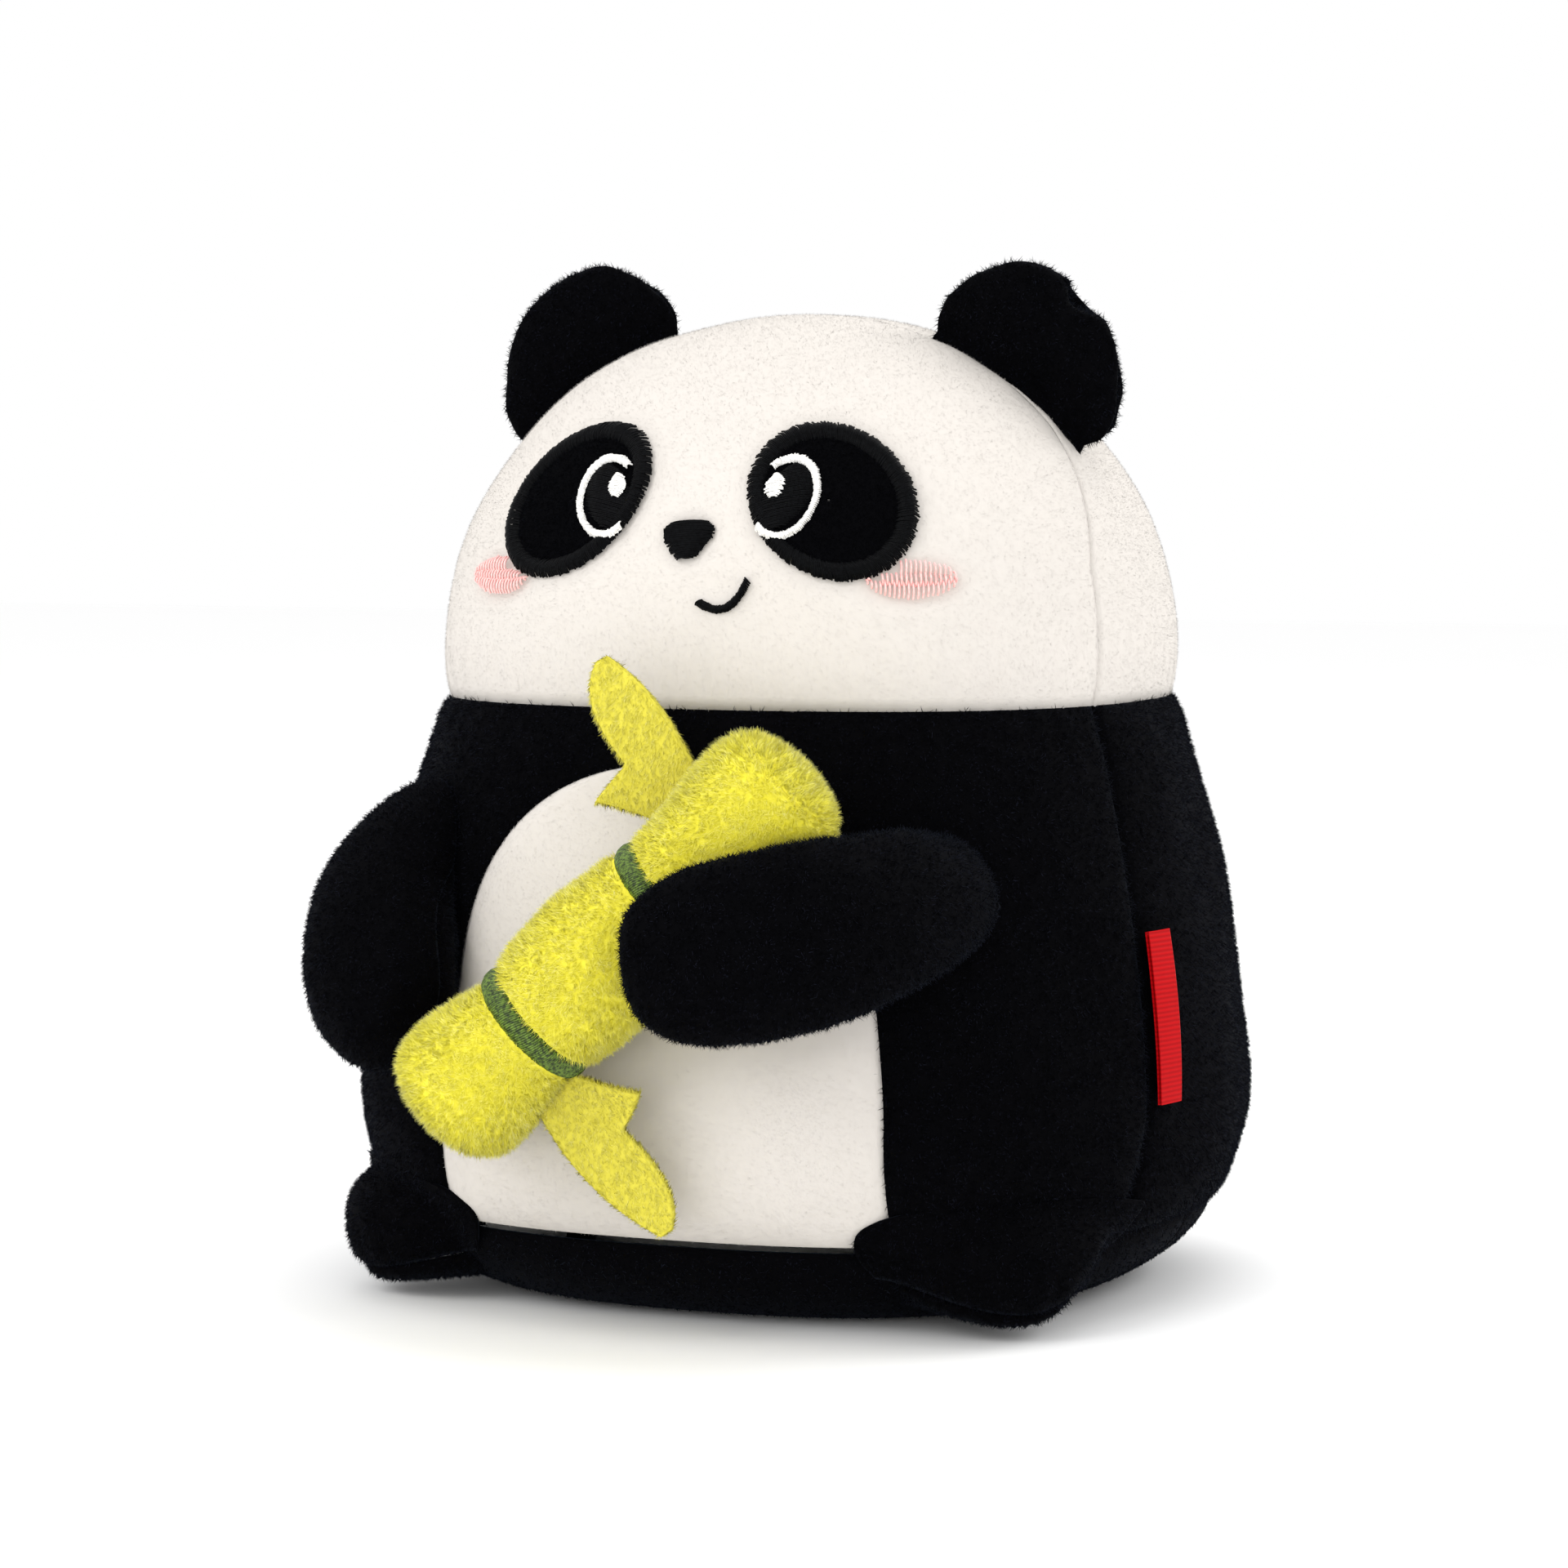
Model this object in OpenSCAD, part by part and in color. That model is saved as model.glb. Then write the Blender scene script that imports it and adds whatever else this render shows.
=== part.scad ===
// Plush panda sitting upright, hugging a stuffed bamboo stalk.
// +Z is up and the panda faces -Y, so its own left side is +X.
// The origin is the middle of the flat base that it sits on.

/* [Torso] */
// Height of the seam between the white head and the black body
neck_z = 130; // [124:1:136]
// Half width of the toy at the neck seam
neck_w = 80; // [76:1:84]
// Height of the head above the neck seam
head_h = 85; // [80:1:90]
// Height at which the body is widest
belly_z = 42; // [38:1:46]
// Half width of the body where it is widest
belly_w = 97; // [94:1:99]
// Half width of the flat that it sits on
base_w = 60; // [54:1:66]
// Squareness of the horizontal section, where 2 is an ellipse
section_n = 2.5; // [2:0.1:2.8]
// Height of the seam between the body and the base panel
base_seam_z = 17; // [14:1:20]
// Thickness of the plush cloth with its pile
cloth = 2; // [1.5:0.1:2.2]

/* [Face] */
// Distance of each eye patch's middle from the middle of the face
eye_x = 29.4; // [29:0.2:31]
// Height of the eye patches' middles
eye_z = 173.8; // [172:0.2:175]
// Half length of an eye patch
eye_long = 19.7; // [18:0.1:20]
// Half width of an eye patch
eye_short = 14.2; // [14:0.1:15]
// Width of the satin stitch round an eye patch
border_w = 3.6; // [3:0.1:4]
// Thickness of one layer of embroidery
thread = 0.8; // [0.6:0.1:0.9]

/* [Limbs] */
// Half width of an ear
ear_w = 24.5; // [23:0.5:25]
// Height of an ear above its seam
ear_h = 26.5; // [25:0.5:28]
// Half width of a foot
foot_w = 27; // [25:0.5:28]
// Height of a foot at the body
foot_h = 29; // [27:0.5:30]

/* [Bamboo] */
// Radius of the stuffed segments
bamboo_r = 14.5; // [13:0.5:15]
// Radius where the stitched rings pull the stalk in
bamboo_waist = 11; // [10:0.5:11.5]
// Thickness of a leaf
leaf_t = 2.4; // [1.8:0.2:2.6]

/* [Hidden] */

gap = 0.3;            // clearance between pieces that only touch
loose = 1;            // clearance between the filling and the cloth round it
seam_z = 0.1;         // half of the gap at a level seam
seam_a = 0.1;         // half of the gap at an upright seam, in degrees
side_a = [[17, -25], [45, -21.5], [130, -19], [160, -18], [190, -8], [220, -6]];
front_ratio = [[0, 0.98], [60, 0.98], [130, 0.93], [220, 0.92]];
back_ratio = [[0, 0.84], [60, 0.84], [130, 0.9], [220, 0.92]];
neck_power = 1.6;     // how the body swells below the neck
head_power = 0.83;    // how flat the crown is
black = [0.03, 0.03, 0.035];
white = [0.95, 0.93, 0.9];
yellow = [0.86, 0.86, 0.2];
green = [0.16, 0.27, 0.08];
pink = [0.95, 0.68, 0.68];
fibre = [0.97, 0.97, 0.95];

// ---- general helpers --------------------------------------------------------------

function unit(v) = v / norm(v);
function lerp(a, b, t) = a + (b - a) * t;
function bezier(p, t) = (1 - t) * (1 - t) * p[0] + 2 * t * (1 - t) * p[1] + t * t * p[2];
function bezier_way(p, t) = unit(lerp(p[1] - p[0], p[2] - p[1], t));
function outward(p, q) = [q[1] - p[1], p[0] - q[0]] / norm(q - p);

// Closed wall between a face and the same face further in. face(u, v, off) gives a
// point, with u and v from 0 to 1.
module wall(face, nu, nv, outer, inner) {
    row = nu + 1;
    half = row * (nv + 1);
    points = [for (off = [outer, inner], j = [0:nv], i = [0:nu]) face(i / nu, j / nv, off)];
    function quad(a, b, c, d) = [[a, c, b], [a, d, c]];
    faces = [
        for (j = [0:nv - 1], i = [0:nu - 1])
            let (a = j * row + i) each quad(a, a + 1, a + row + 1, a + row),
        for (j = [0:nv - 1], i = [0:nu - 1])
            let (a = half + j * row + i) each quad(a + row, a + row + 1, a + 1, a),
        for (i = [0:nu - 1]) each quad(half + i, half + i + 1, i + 1, i),
        for (i = [0:nu - 1])
            let (a = nv * row + i) each quad(a, a + 1, half + a + 1, half + a),
        for (j = [0:nv - 1])
            let (a = j * row) each quad(half + a, a, a + row, half + a + row),
        for (j = [0:nv - 1])
            let (a = j * row + nu) each quad(a, half + a, half + a + row, a + row),
    ];
    polyhedron(points, faces, convexity = 6);
}

// Closed solid whose level rings come from ring(v), lists of points that run
// anticlockwise seen from the end that v = 1 faces.
module stack(ring, nv) {
    rings = [for (j = [0:nv]) ring(j / nv)];
    n = len(rings[0]);
    faces = [
        [for (i = [0:n - 1]) i],
        [for (i = [n - 1:-1:0]) nv * n + i],
        for (j = [0:nv - 1], i = [0:n - 1])
            let (a = j * n + i, b = j * n + (i + 1) % n) each [[a, b + n, b], [a, a + n, b + n]],
    ];
    polyhedron([for (r = rings) each r], faces, convexity = 6);
}

// ---- torso surface ------------------------------------------------------------------

// Half width and height along the side from the base's middle, s = 0, to the crown, s = 4.
function profile(s) =
    s < 1 ? [base_w * s, 0]
    : s < 2 ? let (b = 90 * (2 - s)) [base_w + (belly_w - base_w) * cos(b), belly_z * (1 - sin(b))]
    : s < 3 ? [belly_w - (belly_w - neck_w) * pow(s - 2, neck_power), lerp(belly_z, neck_z, s - 2)]
    : let (a = 90 * (s - 3)) [neck_w * cos(a), neck_z + head_h * pow(sin(a), head_power)];

function s_of(z) =
    z < belly_z ? 2 - asin(1 - z / belly_z) / 90
    : z < neck_z ? 2 + (z - belly_z) / (neck_z - belly_z)
    : 3 + asin(min(1, pow((z - neck_z) / head_h, 1 / head_power))) / 90;

// A point at an angle round the toy, off millimetres outside its surface. low and high
// keep the slope from being taken across a seam.
function torso(angle, s, off = 0, low = 0, high = 4) =
    let (
        e = 0.002,
        p = profile(s) + off * outward(profile(max(low, s - e)), profile(min(high - 1e-6, s + e))),
        w = max(0.01, p[0]),
        ratio = lookup(p[1], sin(angle) < 0 ? front_ratio : back_ratio),
        r = w * pow(pow(abs(cos(angle)), section_n) + pow(abs(sin(angle)) / ratio, section_n), -1 / section_n)
    )
    [r * cos(angle), r * sin(angle), p[1]];

// The angle round the toy of the point on its front that is x to the side at height z.
function angle_of(x, z) =
    let (
        w = profile(s_of(z))[0],
        k = lookup(z, front_ratio),
        y = -k * w * pow(max(0, 1 - pow(abs(x) / w, section_n)), 1 / section_n)
    )
    atan2(y, x);

function on_front(x, z, off = 0, low = 0, high = 4) = torso(angle_of(x, z), s_of(z), off, low, high);

// ---- torso panels ---------------------------------------------------------------------

module head_panel(front) {
    place = function (u, v, off)
        let (
            s = lerp(s_of(neck_z + seam_z), 4, v),
            a = lookup(profile(s)[1], side_a),
            from = front ? -180 - a + seam_a : a + seam_a,
            to = front ? a - seam_a : 180 - a - seam_a
        )
        torso(lerp(from, to, u), s, off, 3, 4);
    color(white) wall(place, front ? 26 : 30, 12, 0, -cloth);
}

module head_front_panel() head_panel(true);
module head_back_panel() head_panel(false);

belly_top = 119;
belly_mid = 72;
// Half width of the belly panel at a height above the base seam
function belly_half(z) =
    z > belly_mid ? 48.5 * pow(1 - pow((z - belly_mid) / (belly_top - belly_mid), 2.4), 1 / 2.2)
    : 48.5 + 3 * sin(min(90, 90 * (belly_mid - z) / 28));

belly_low = base_seam_z + 2;
belly_corner = 7;     // radius of the belly panel's lower corners

// The belly panel's edge as a height and a half width, from its lower corner up, f 0 to 1.
function belly_edge(f) =
    f < 0.1 ?
        let (b = 900 * f)
        [belly_low + belly_corner * (1 - cos(b)), belly_half(belly_low) - belly_corner * (1 - sin(b))]
    :
        let (g = (f - 0.1) / 0.9, z = lerp(belly_low + belly_corner, belly_top, 1 - pow(1 - g, 1.8)))
        [z, belly_half(z)];

module belly_panel() {
    place = function (u, v, off)
        let (e = belly_edge(v), a = angle_of(e[1], e[0]) - seam_a)
        torso(lerp(-180 - a, a, u), s_of(e[0]), off, 1, 3);
    color(white) wall(place, 14, 20, 0, -cloth);
}

// An arch of cloth round the belly panel. u runs round the arch from the toy's right side
// over the top to its left, and v from the belly's edge out to the seams.
module body_front_panel() {
    low = base_seam_z + seam_z;
    high = neck_z - seam_z;
    bridge = 0.12;    // share of the arch that lies below the belly panel's corners
    edge = function (z, side) let (a = lookup(z, side_a) - seam_a) side < 0 ? -180 - a : a;
    inner = function (u)
        let (
            f = 1 - abs(2 * u - 1),
            below = [lerp(low, belly_low - 2 * seam_z, f / bridge), belly_half(belly_low) - belly_corner],
            e = f < bridge ? below : belly_edge((f - bridge) / (1 - bridge)),
            a = angle_of(e[1], e[0]) + 2 * seam_a
        )
        [u < 0.5 ? -180 - a : a, f > 0.999 ? belly_top + 2 * seam_z : e[0]];
    rim = function (u)
        u < 0.3 ? let (z = lerp(low, high, u / 0.3)) [edge(z, -1), z]
        : u > 0.7 ? let (z = lerp(low, high, (1 - u) / 0.3)) [edge(z, 1), z]
        : [lerp(edge(high, -1), edge(high, 1), (u - 0.3) / 0.4), high];
    place = function (u, v, off)
        let (p = lerp(inner(u), rim(u), v))
        torso(p[0], s_of(p[1]), off, 1, 3);
    color(black) wall(place, 60, 5, 0, -cloth);
}

module body_back_panel(left) {
    place = function (u, v, off)
        let (
            z = lerp(base_seam_z + seam_z, neck_z - seam_z, v),
            a = lookup(z, side_a) + seam_a,
            from = left ? a : 90 + seam_a,
            to = left ? 90 - seam_a : 180 - a
        )
        torso(lerp(from, to, u), s_of(z), off, 1, 3);
    color(black) wall(place, 14, 12, 0, -cloth);
}

module body_back_left_panel() body_back_panel(true);
module body_back_right_panel() body_back_panel(false);

// A dish that turns up to meet the body.
module base_panel() {
    sides = 48;
    rows = 9;
    top = s_of(base_seam_z - seam_z);
    ring = function (k, off)
        [for (i = [0:sides - 1]) torso(360 * i / sides, lerp(1, top, k / rows), off, 0.5, 3)];
    rings = [for (k = [0:rows]) ring(k, 0), for (k = [rows:-1:0]) ring(k, -cloth)];
    color(black) stack(function (v) rings[round(v * (2 * rows + 1))], 2 * rows + 1);
}

// The loose fibre that fills the head and body above the pellet pouch.
module fibre_filling() {
    low = s_of(base_seam_z + 3);
    ring = function (v) [for (i = [0:39]) torso(9 * i, lerp(low, 3.96, v), -cloth - loose, 1, 4)];
    color(fibre) stack(ring, 26);
}

// A round cotton bag of plastic pellets that keeps the toy upright.
module pellet_pouch() {
    r = 50;
    h = 14;
    color([0.9, 0.88, 0.82])
        translate([0, 0, cloth + gap])
        rotate_extrude($fn = 64)
        polygon([
            [0, 0], [r - h / 2, 0],
            for (b = [-75:15:75]) [r - h / 2 + h / 2 * cos(b), h / 2 + h / 2 * sin(b)],
            [r - h / 2, h], [0, h],
        ]);
}

// Hand stitches that close the opening in the middle back seam.
module back_closing_stitches() {
    step = 5;
    color([0.08, 0.08, 0.08])
        for (z = [50:step:80]) {
            p = torso(90, s_of(z), 0.6);
            translate(p) rotate([0, 90, 0]) cylinder(h = 3.2, r = 0.35, center = true, $fn = 16);
        }
}

// ---- face embroidery ------------------------------------------------------------------

pupil_tilt = -8;      // lean of the pupils, in degrees
cap_share = 0.15;     // size of the flat in the middle of a stitched pad

// A flat piece of stitching laid on the cloth between two heights above it. edge(a, f)
// gives the place on the face at angle a. f runs from `from` at the inner rim, or 0 if the
// piece has no hole, to 1 at the outer one.
module stitched(edge, low, high, from = 0, steps = 28, rings = 3) {
    point = function (a, f, off) let (p = edge(a, f)) on_front(p[0], p[1], off, 3, 4);
    ring = function (k, off)
        let (f = from > 0 ? lerp(from, 1, k / rings) : max(cap_share, k / rings))
        [for (i = [0:steps - 1]) point(360 * i / steps, f, off)];
    loops([for (k = [0:rings]) ring(k, high), for (k = [rings:-1:0]) ring(k, low)], from > 0);
}

// Joins rings of points into a solid. A ring shape closes on itself, and a pad is capped.
module loops(rings, closed) {
    n = len(rings[0]);
    m = len(rings);
    mean = function (r) [for (k = [0:2]) [for (p = r) p[k]] * [for (p = r) 1] / n];
    points = [for (r = rings) each r, mean(rings[0]), mean(rings[m - 1])];
    joins = closed ? m : m - 1;
    faces = [
        for (j = [0:joins - 1], i = [0:n - 1])
            let (k = (j + 1) % m, i2 = (i + 1) % n)
            each [[j * n + i, j * n + i2, k * n + i2], [j * n + i, k * n + i2, k * n + i]],
        if (!closed) for (i = [0:n - 1]) [m * n, (i + 1) % n, i],
        if (!closed) for (i = [0:n - 1]) [m * n + 1, (m - 1) * n + i, (m - 1) * n + (i + 1) % n],
    ];
    polyhedron(points, faces, convexity = 6);
}

function turned(x, y, tilt) = [x * cos(tilt) - y * sin(tilt), x * sin(tilt) + y * cos(tilt)];

// An ellipse on the face. side is 1 for the toy's left and -1 for its right, and the points
// always run the same way round.
function oval(side, x, z, a, b, tilt) =
    function (angle, f)
        let (p = turned(f * a * cos(side * angle), f * b * sin(side * angle), tilt))
        [side * (x + p[0]), z + p[1]];

eye_tilt = -37;
share = 1 - border_w / eye_short;    // of the eye patch that its border leaves bare
layer = thread + 0.1;                // from the bottom of one layer of stitching to the next
pupil = [20.2, 174.2, 5.4, 6.6];     // its place across and up, and its half sizes

module eye_patch(side)
    color(black) stitched(
        oval(side, eye_x, eye_z, eye_long * share - 0.15, eye_short * share - 0.15, eye_tilt),
        0.1, 0.1 + thread
    );

module eye_border(side)
    color(black)
        stitched(oval(side, eye_x, eye_z, eye_long, eye_short, eye_tilt), 0.1, 1.7, share + 0.01, 36, 2);

module eye_pupil(side)
    color(black)
        stitched(oval(side, pupil[0], pupil[1], pupil[2], pupil[3], pupil_tilt), 2 * layer, 2.6, 0, 24, 2);

module eye_highlight(side)
    color(white) stitched(oval(side, 17.9, 176.2, 2, 2.4, 0), 2.7, 3.3, 0, 16, 1);

// A crescent that follows the outer side of the pupil.
module eye_arc(side) {
    place = function (u, v, off)
        let (
            a = lerp(-125, 130, u),
            f = lerp(1.1, 1.32, v),
            p = turned(f * pupil[2] * cos(a), f * pupil[3] * sin(a), pupil_tilt)
        )
        on_front(side * (pupil[0] + p[0]), pupil[1] + p[1], off, 3, 4);
    color(white) wall(side > 0 ? function (u, v, off) place(1 - u, v, off) : place, 22, 1, 2.6, 2);
}

// A rounded heart, wider than it is tall.
module nose() {
    edge = function (a, f)
        let (r = f * (1 - 0.16 * cos(a - 90) * cos(a - 90) * (sin(a) > 0 ? 1 : 0) + 0.05 * cos(3 * (a + 90))))
        [5.6 * r * cos(a), 165.8 + 4.1 * r * sin(a)];
    color(black) stitched(edge, 0.1, 1.3, 0, 28, 3);
}

// A lopsided smile.
mouth_way = [[4.3, 153.4], [11, 147.6], [14.6, 157.2]];
module mouth() {
    place = function (u, v, off)
        let (
            c = bezier(mouth_way, u),
            w = bezier_way(mouth_way, u),
            side = lerp(-0.85, 0.85, v)
        )
        on_front(c[0] - side * w[1], c[1] + side * w[0], off, 3, 4);
    color(black) wall(place, 14, 1, 1.2, 0.1);
}

module cheek(side)
    color(pink) difference() {
        stitched(oval(side, 47.4, 157.6, 8.4, 4, 0), 0.1, 0.9, 0, 24, 2);
        stitched(oval(side, eye_x, eye_z, eye_long + 0.3, eye_short + 0.3, eye_tilt), -1, 2, 0, 36, 3);
    }

module eye_patch_left() eye_patch(1);
module eye_patch_right() eye_patch(-1);
module eye_border_left() eye_border(1);
module eye_border_right() eye_border(-1);
module pupil_left() eye_pupil(1);
module pupil_right() eye_pupil(-1);
module eye_arc_left() eye_arc(1);
module eye_arc_right() eye_arc(-1);
module eye_highlight_left() eye_highlight(1);
module eye_highlight_right() eye_highlight(-1);
module cheek_left() cheek(1);
module cheek_right() cheek(-1);

// ---- limbs ----------------------------------------------------------------------------

// A limb is a list: centreline (three Bezier points), length, radius at its root, radius at
// its tip, flattening, and the direction that the flattened side faces.
function limb_profile(limb, v) =
    let (f = (1 - cos(180 * v)) / 2, t = f * f * (3 - 2 * f))
    [f * limb[1], lerp(limb[2], limb[3], t) * pow(max(0, sin(180 * v)), 0.45)];

function limb_point(limb, angle, v, off) =
    let (
        e = 0.004,
        near = limb_profile(limb, max(0, v - e)),
        p = limb_profile(limb, v) - off * outward(near, limb_profile(limb, min(1, v + e))),
        f = p[0] / limb[1],
        way = bezier_way(limb[0], min(1, max(0, f))),
        c = bezier(limb[0], min(1, max(0, f))) + way * (p[0] - min(limb[1], max(0, p[0]))),
        across = unit(cross(way, limb[5])),
        face = cross(across, way),
        r = max(0.01, p[1])
    )
    c + across * r * cos(angle) + face * r * limb[4] * sin(angle);

module limb_half(limb, outer_side) {
    from = outer_side ? 0.6 : 180.6;
    place = function (u, v, off) limb_point(limb, lerp(from, from + 178.8, 1 - u), v, off);
    wall(place, 10, 16, 0, -cloth);
}

module limb_filling(limb) {
    ring = function (v) [for (i = [19:-1:0]) limb_point(limb, 18 * i, lerp(0.06, 0.94, v), -cloth - gap)];
    stack(ring, 14);
}

arm_left = [[[61, -64, 93], [59, -127, 88], [14, -129, 83]], 92, 16, 18.5, 0.72, [0.45, -0.88, 0.1]];
arm_right = [[[-58, -58, 110], [-78, -90, 86], [-53, -99, 58]], 75, 14, 16.5, 0.85, [-0.6, -0.8, 0.15]];
clear = 0.5;          // room between the arms and what they lie against

// The whole torso as a solid, keep_out larger all round.
module torso_core(keep_out, from, to)
    stack(function (v) [for (i = [0:71]) torso(5 * i, lerp(from, to, v), keep_out, 0.5, 4)], 36);

// An arm is cut back where it lies against the body, the head and the bamboo.
module fitted(keep_out) difference() {
    children();
    torso_core(keep_out, 1.4, 3.6);
    on_bamboo() bamboo_core(-keep_out, -0.02, 1.02);
}

module arm_left_outer() color(black) fitted(clear) limb_half(arm_left, true);
module arm_left_inner() color(black) fitted(clear) limb_half(arm_left, false);
module arm_left_filling() color(fibre) fitted(clear + cloth) limb_filling(arm_left);
module arm_right_outer() color(black) fitted(clear) limb_half(arm_right, true);
module arm_right_inner() color(black) fitted(clear) limb_half(arm_right, false);
module arm_right_filling() color(fibre) fitted(clear + cloth) limb_filling(arm_right);

// ---- ears -----------------------------------------------------------------------------

ear_mid = 47.6;       // distance of an ear's middle from the middle of the head
ear_lean = 35;        // how far an ear leans outwards, in degrees
ear_base_t = 1.3;     // half thickness of an ear at its seam
ear_t = 7;            // half thickness of an ear where it is fullest
ear_lift = 1.3;       // height of an ear's seam above the head
ear_y = -4.5;         // how far forward the ears are sewn
ear_cloth = 1.1;      // thickness of the ears' cloth, which is clipped short inside the seam

// Height of the crown of the head at a distance from its middle
function crown(x) = neck_z + head_h * pow(sin(acos(min(1, x / neck_w))), head_power);

// A point of an ear, at an angle round it and v of the way up it.
function ear_point(side, angle, v, off) =
    let (
        wide = (ear_w + off) * pow(max(0, 1 - pow(v, 2.6)), 0.5) * (0.88 + 0.12 * sin(min(90, 250 * v))),
        full = lerp(ear_base_t, ear_t, sin(min(90, 150 * v))) * pow(max(0, 1 - pow(v, 4)), 0.5) + off,
        along = wide * cos(angle),
        x = ear_mid + along * cos(ear_lean),
        up = lerp(ear_lift - min(0, off), ear_h + off, v)
    )
    [
        side * (x + up * sin(ear_lean)),
        ear_y + max(0.05, full) * sin(angle),
        crown(x) + up * cos(ear_lean),
    ];

module ear_half(side, front) {
    from = (front ? 180.6 : 0.6);
    place = function (u, v, off) ear_point(side, lerp(from, from + 178.8, u), lerp(0, 0.985, v), off);
    color(black) wall(function (u, v, off) place(side > 0 ? u : 1 - u, v, off), 12, 10, 0, -ear_cloth);
}

module ear_filling(side) {
    ring = function (v)
        [for (i = [0:19]) ear_point(side, (side > 0 ? 18 : -18) * i, lerp(0.1, 0.9, v), -ear_cloth - 0.7)];
    color(fibre) stack(ring, 10);
}

module ear_left_front() ear_half(1, true);
module ear_left_back() ear_half(1, false);
module ear_left_filling() ear_filling(1);
module ear_right_front() ear_half(-1, true);
module ear_right_back() ear_half(-1, false);
module ear_right_filling() ear_filling(-1);

// ---- feet -----------------------------------------------------------------------------

foot_a = 48;          // angle of each foot from straight ahead
foot_long = 33;       // length of a foot from its root under the body to its toe
foot_root = 74;       // distance of a foot's middle from the toy's middle
foot_back = -14;      // how far a foot reaches in under the body
foot_low = 3;         // clearance under a foot
foot_seam = 5.5;      // height of the seam between a foot's top and its sole

function foot_place(side, across, forward, z) =
    let (a = -90 + side * foot_a)
    [
        (foot_root + forward) * cos(a) - side * across * sin(a),
        (foot_root + forward) * sin(a) + side * across * cos(a),
        z,
    ];

module foot_left_top() foot_piece(1, "top");
module foot_left_sole() foot_piece(1, "sole");
module foot_left_filling() foot_piece(1, "filling");
module foot_right_top() foot_piece(-1, "top");
module foot_right_sole() foot_piece(-1, "sole");
module foot_right_filling() foot_piece(-1, "filling");

// One level ring of a foot, at h from -1 at the sole through 0 at the seam to 1 at the top.
function foot_ring(side, h, off) =
    let (
        z = h < 0 ? lerp(foot_seam, foot_low - off, -h) : lerp(foot_seam, foot_h + off, sin(90 * h)),
        k = h < 0 ? 0.8 + 0.2 * sqrt(1 - h * h) : pow(max(0.02, cos(90 * h)), 0.45),
        toe = (foot_long + off - 8) * k + 8
    )
    [
        for (i = [0:39])
            let (a = -side * 9 * i, bulge = sin(a) > 0 ? toe : foot_back)
            foot_place(side, (foot_w + off) * k * cos(a), bulge * abs(sin(a)), z),
    ];

// A solid from rings low to high. It is cut off where it meets the body.
module foot_dome(side, low, high, off) {
    rings = 14;
    stack(function (v) foot_ring(side, lerp(low, high, v), off), rings);
}

module foot_piece(side, part) difference() {
    if (part == "top") color(black) foot_dome(side, 0.01, 1, 0);
    if (part == "sole") color(black) foot_dome(side, -1, -0.01, 0);
    if (part == "filling") color(fibre) foot_dome(side, 0.01, 0.98, -cloth - gap);
    if (part == "top") foot_dome(side, -0.2, 1, -cloth);
    torso_core(0.15, 1, 3);
}

// ---- bamboo ---------------------------------------------------------------------------

bamboo_low = [-36, -112, 46];
bamboo_high = [38.4, -99, 116.5];
bamboo_len = norm(bamboo_high - bamboo_low);
ring_at = [0.27, 0.645];    // places of the two stitched rings along the stalk
disc_t = 2;
ring_w = 4.4;         // width of a ring of satin stitch
ring_t = 1.6;         // its thickness over the stalk's waist

// Puts its children on the stalk, with +Z along it from the lower end and +X towards the
// left of the toy's upper edge.
module on_bamboo() {
    way = unit(bamboo_high - bamboo_low);
    out = unit(cross(way, [0, 0, 1]));
    up = cross(out, way);
    multmatrix([
        [up[0], out[0], way[0], bamboo_low[0]],
        [up[1], out[1], way[1], bamboo_low[1]],
        [up[2], out[2], way[2], bamboo_low[2]],
        [0, 0, 0, 1],
    ]) children();
}

// Radius of the stalk at a share of its length: three swells between the rings, and a
// flare at the upper end.
function bamboo_radius(f) =
    let (
        a = ring_at[0],
        b = ring_at[1],
        g = f < a ? f / a : f < b ? (f - a) / (b - a) : (f - b) / (1 - b),
        swell = f < a ? pow(cos(90 * g), 0.45) : f < b ? pow(sin(180 * g), 0.45) : pow(sin(90 * g), 0.55)
    )
    bamboo_waist + (bamboo_r - bamboo_waist) * swell;

module bamboo_core(inset, from, to) {
    rows = 40;
    rotate_extrude($fn = 48)
        polygon([
            [0, from * bamboo_len],
            for (k = [0:rows])
                let (f = lerp(from, to, k / rows))
                [bamboo_radius(min(1, max(0, f))) - inset, f * bamboo_len],
            [0, to * bamboo_len],
        ]);
}

end_share = (disc_t + 0.05) / bamboo_len;

module bamboo_sleeve()
    color(yellow) on_bamboo() difference() {
        bamboo_core(0, end_share, 1 - end_share);
        translate([0, 0, -1]) cylinder(h = bamboo_len + 2, r = bamboo_waist - cloth, $fn = 48);
        for (f = ring_at) translate([0, 0, f * bamboo_len]) difference() {
            cylinder(h = ring_w + 0.4, r = bamboo_r + 1, center = true, $fn = 48);
            cylinder(h = ring_w + 1, r = bamboo_waist, center = true, $fn = 48);
        }
    }

module bamboo_filling()
    color(fibre) on_bamboo()
        translate([0, 0, disc_t + 0.2])
        cylinder(h = bamboo_len - 2 * disc_t - 0.4, r = bamboo_waist - cloth - gap, $fn = 48);

module bamboo_disc() cylinder(h = disc_t, r = bamboo_r, $fn = 48);
module bamboo_bottom_disc() color(yellow) on_bamboo() bamboo_disc();
module bamboo_top_disc() color(yellow) on_bamboo() translate([0, 0, bamboo_len - disc_t]) bamboo_disc();

// A band of satin stitch wrapped round the stalk.
module bamboo_ring(f)
    color(green) on_bamboo() translate([0, 0, f * bamboo_len])
        rotate_extrude($fn = 48)
        translate([bamboo_waist + 0.1, -ring_w / 2])
        square([ring_t - 0.1, ring_w]);

module bamboo_ring_lower() bamboo_ring(ring_at[0]);
module bamboo_ring_upper() bamboo_ring(ring_at[1]);

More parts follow.
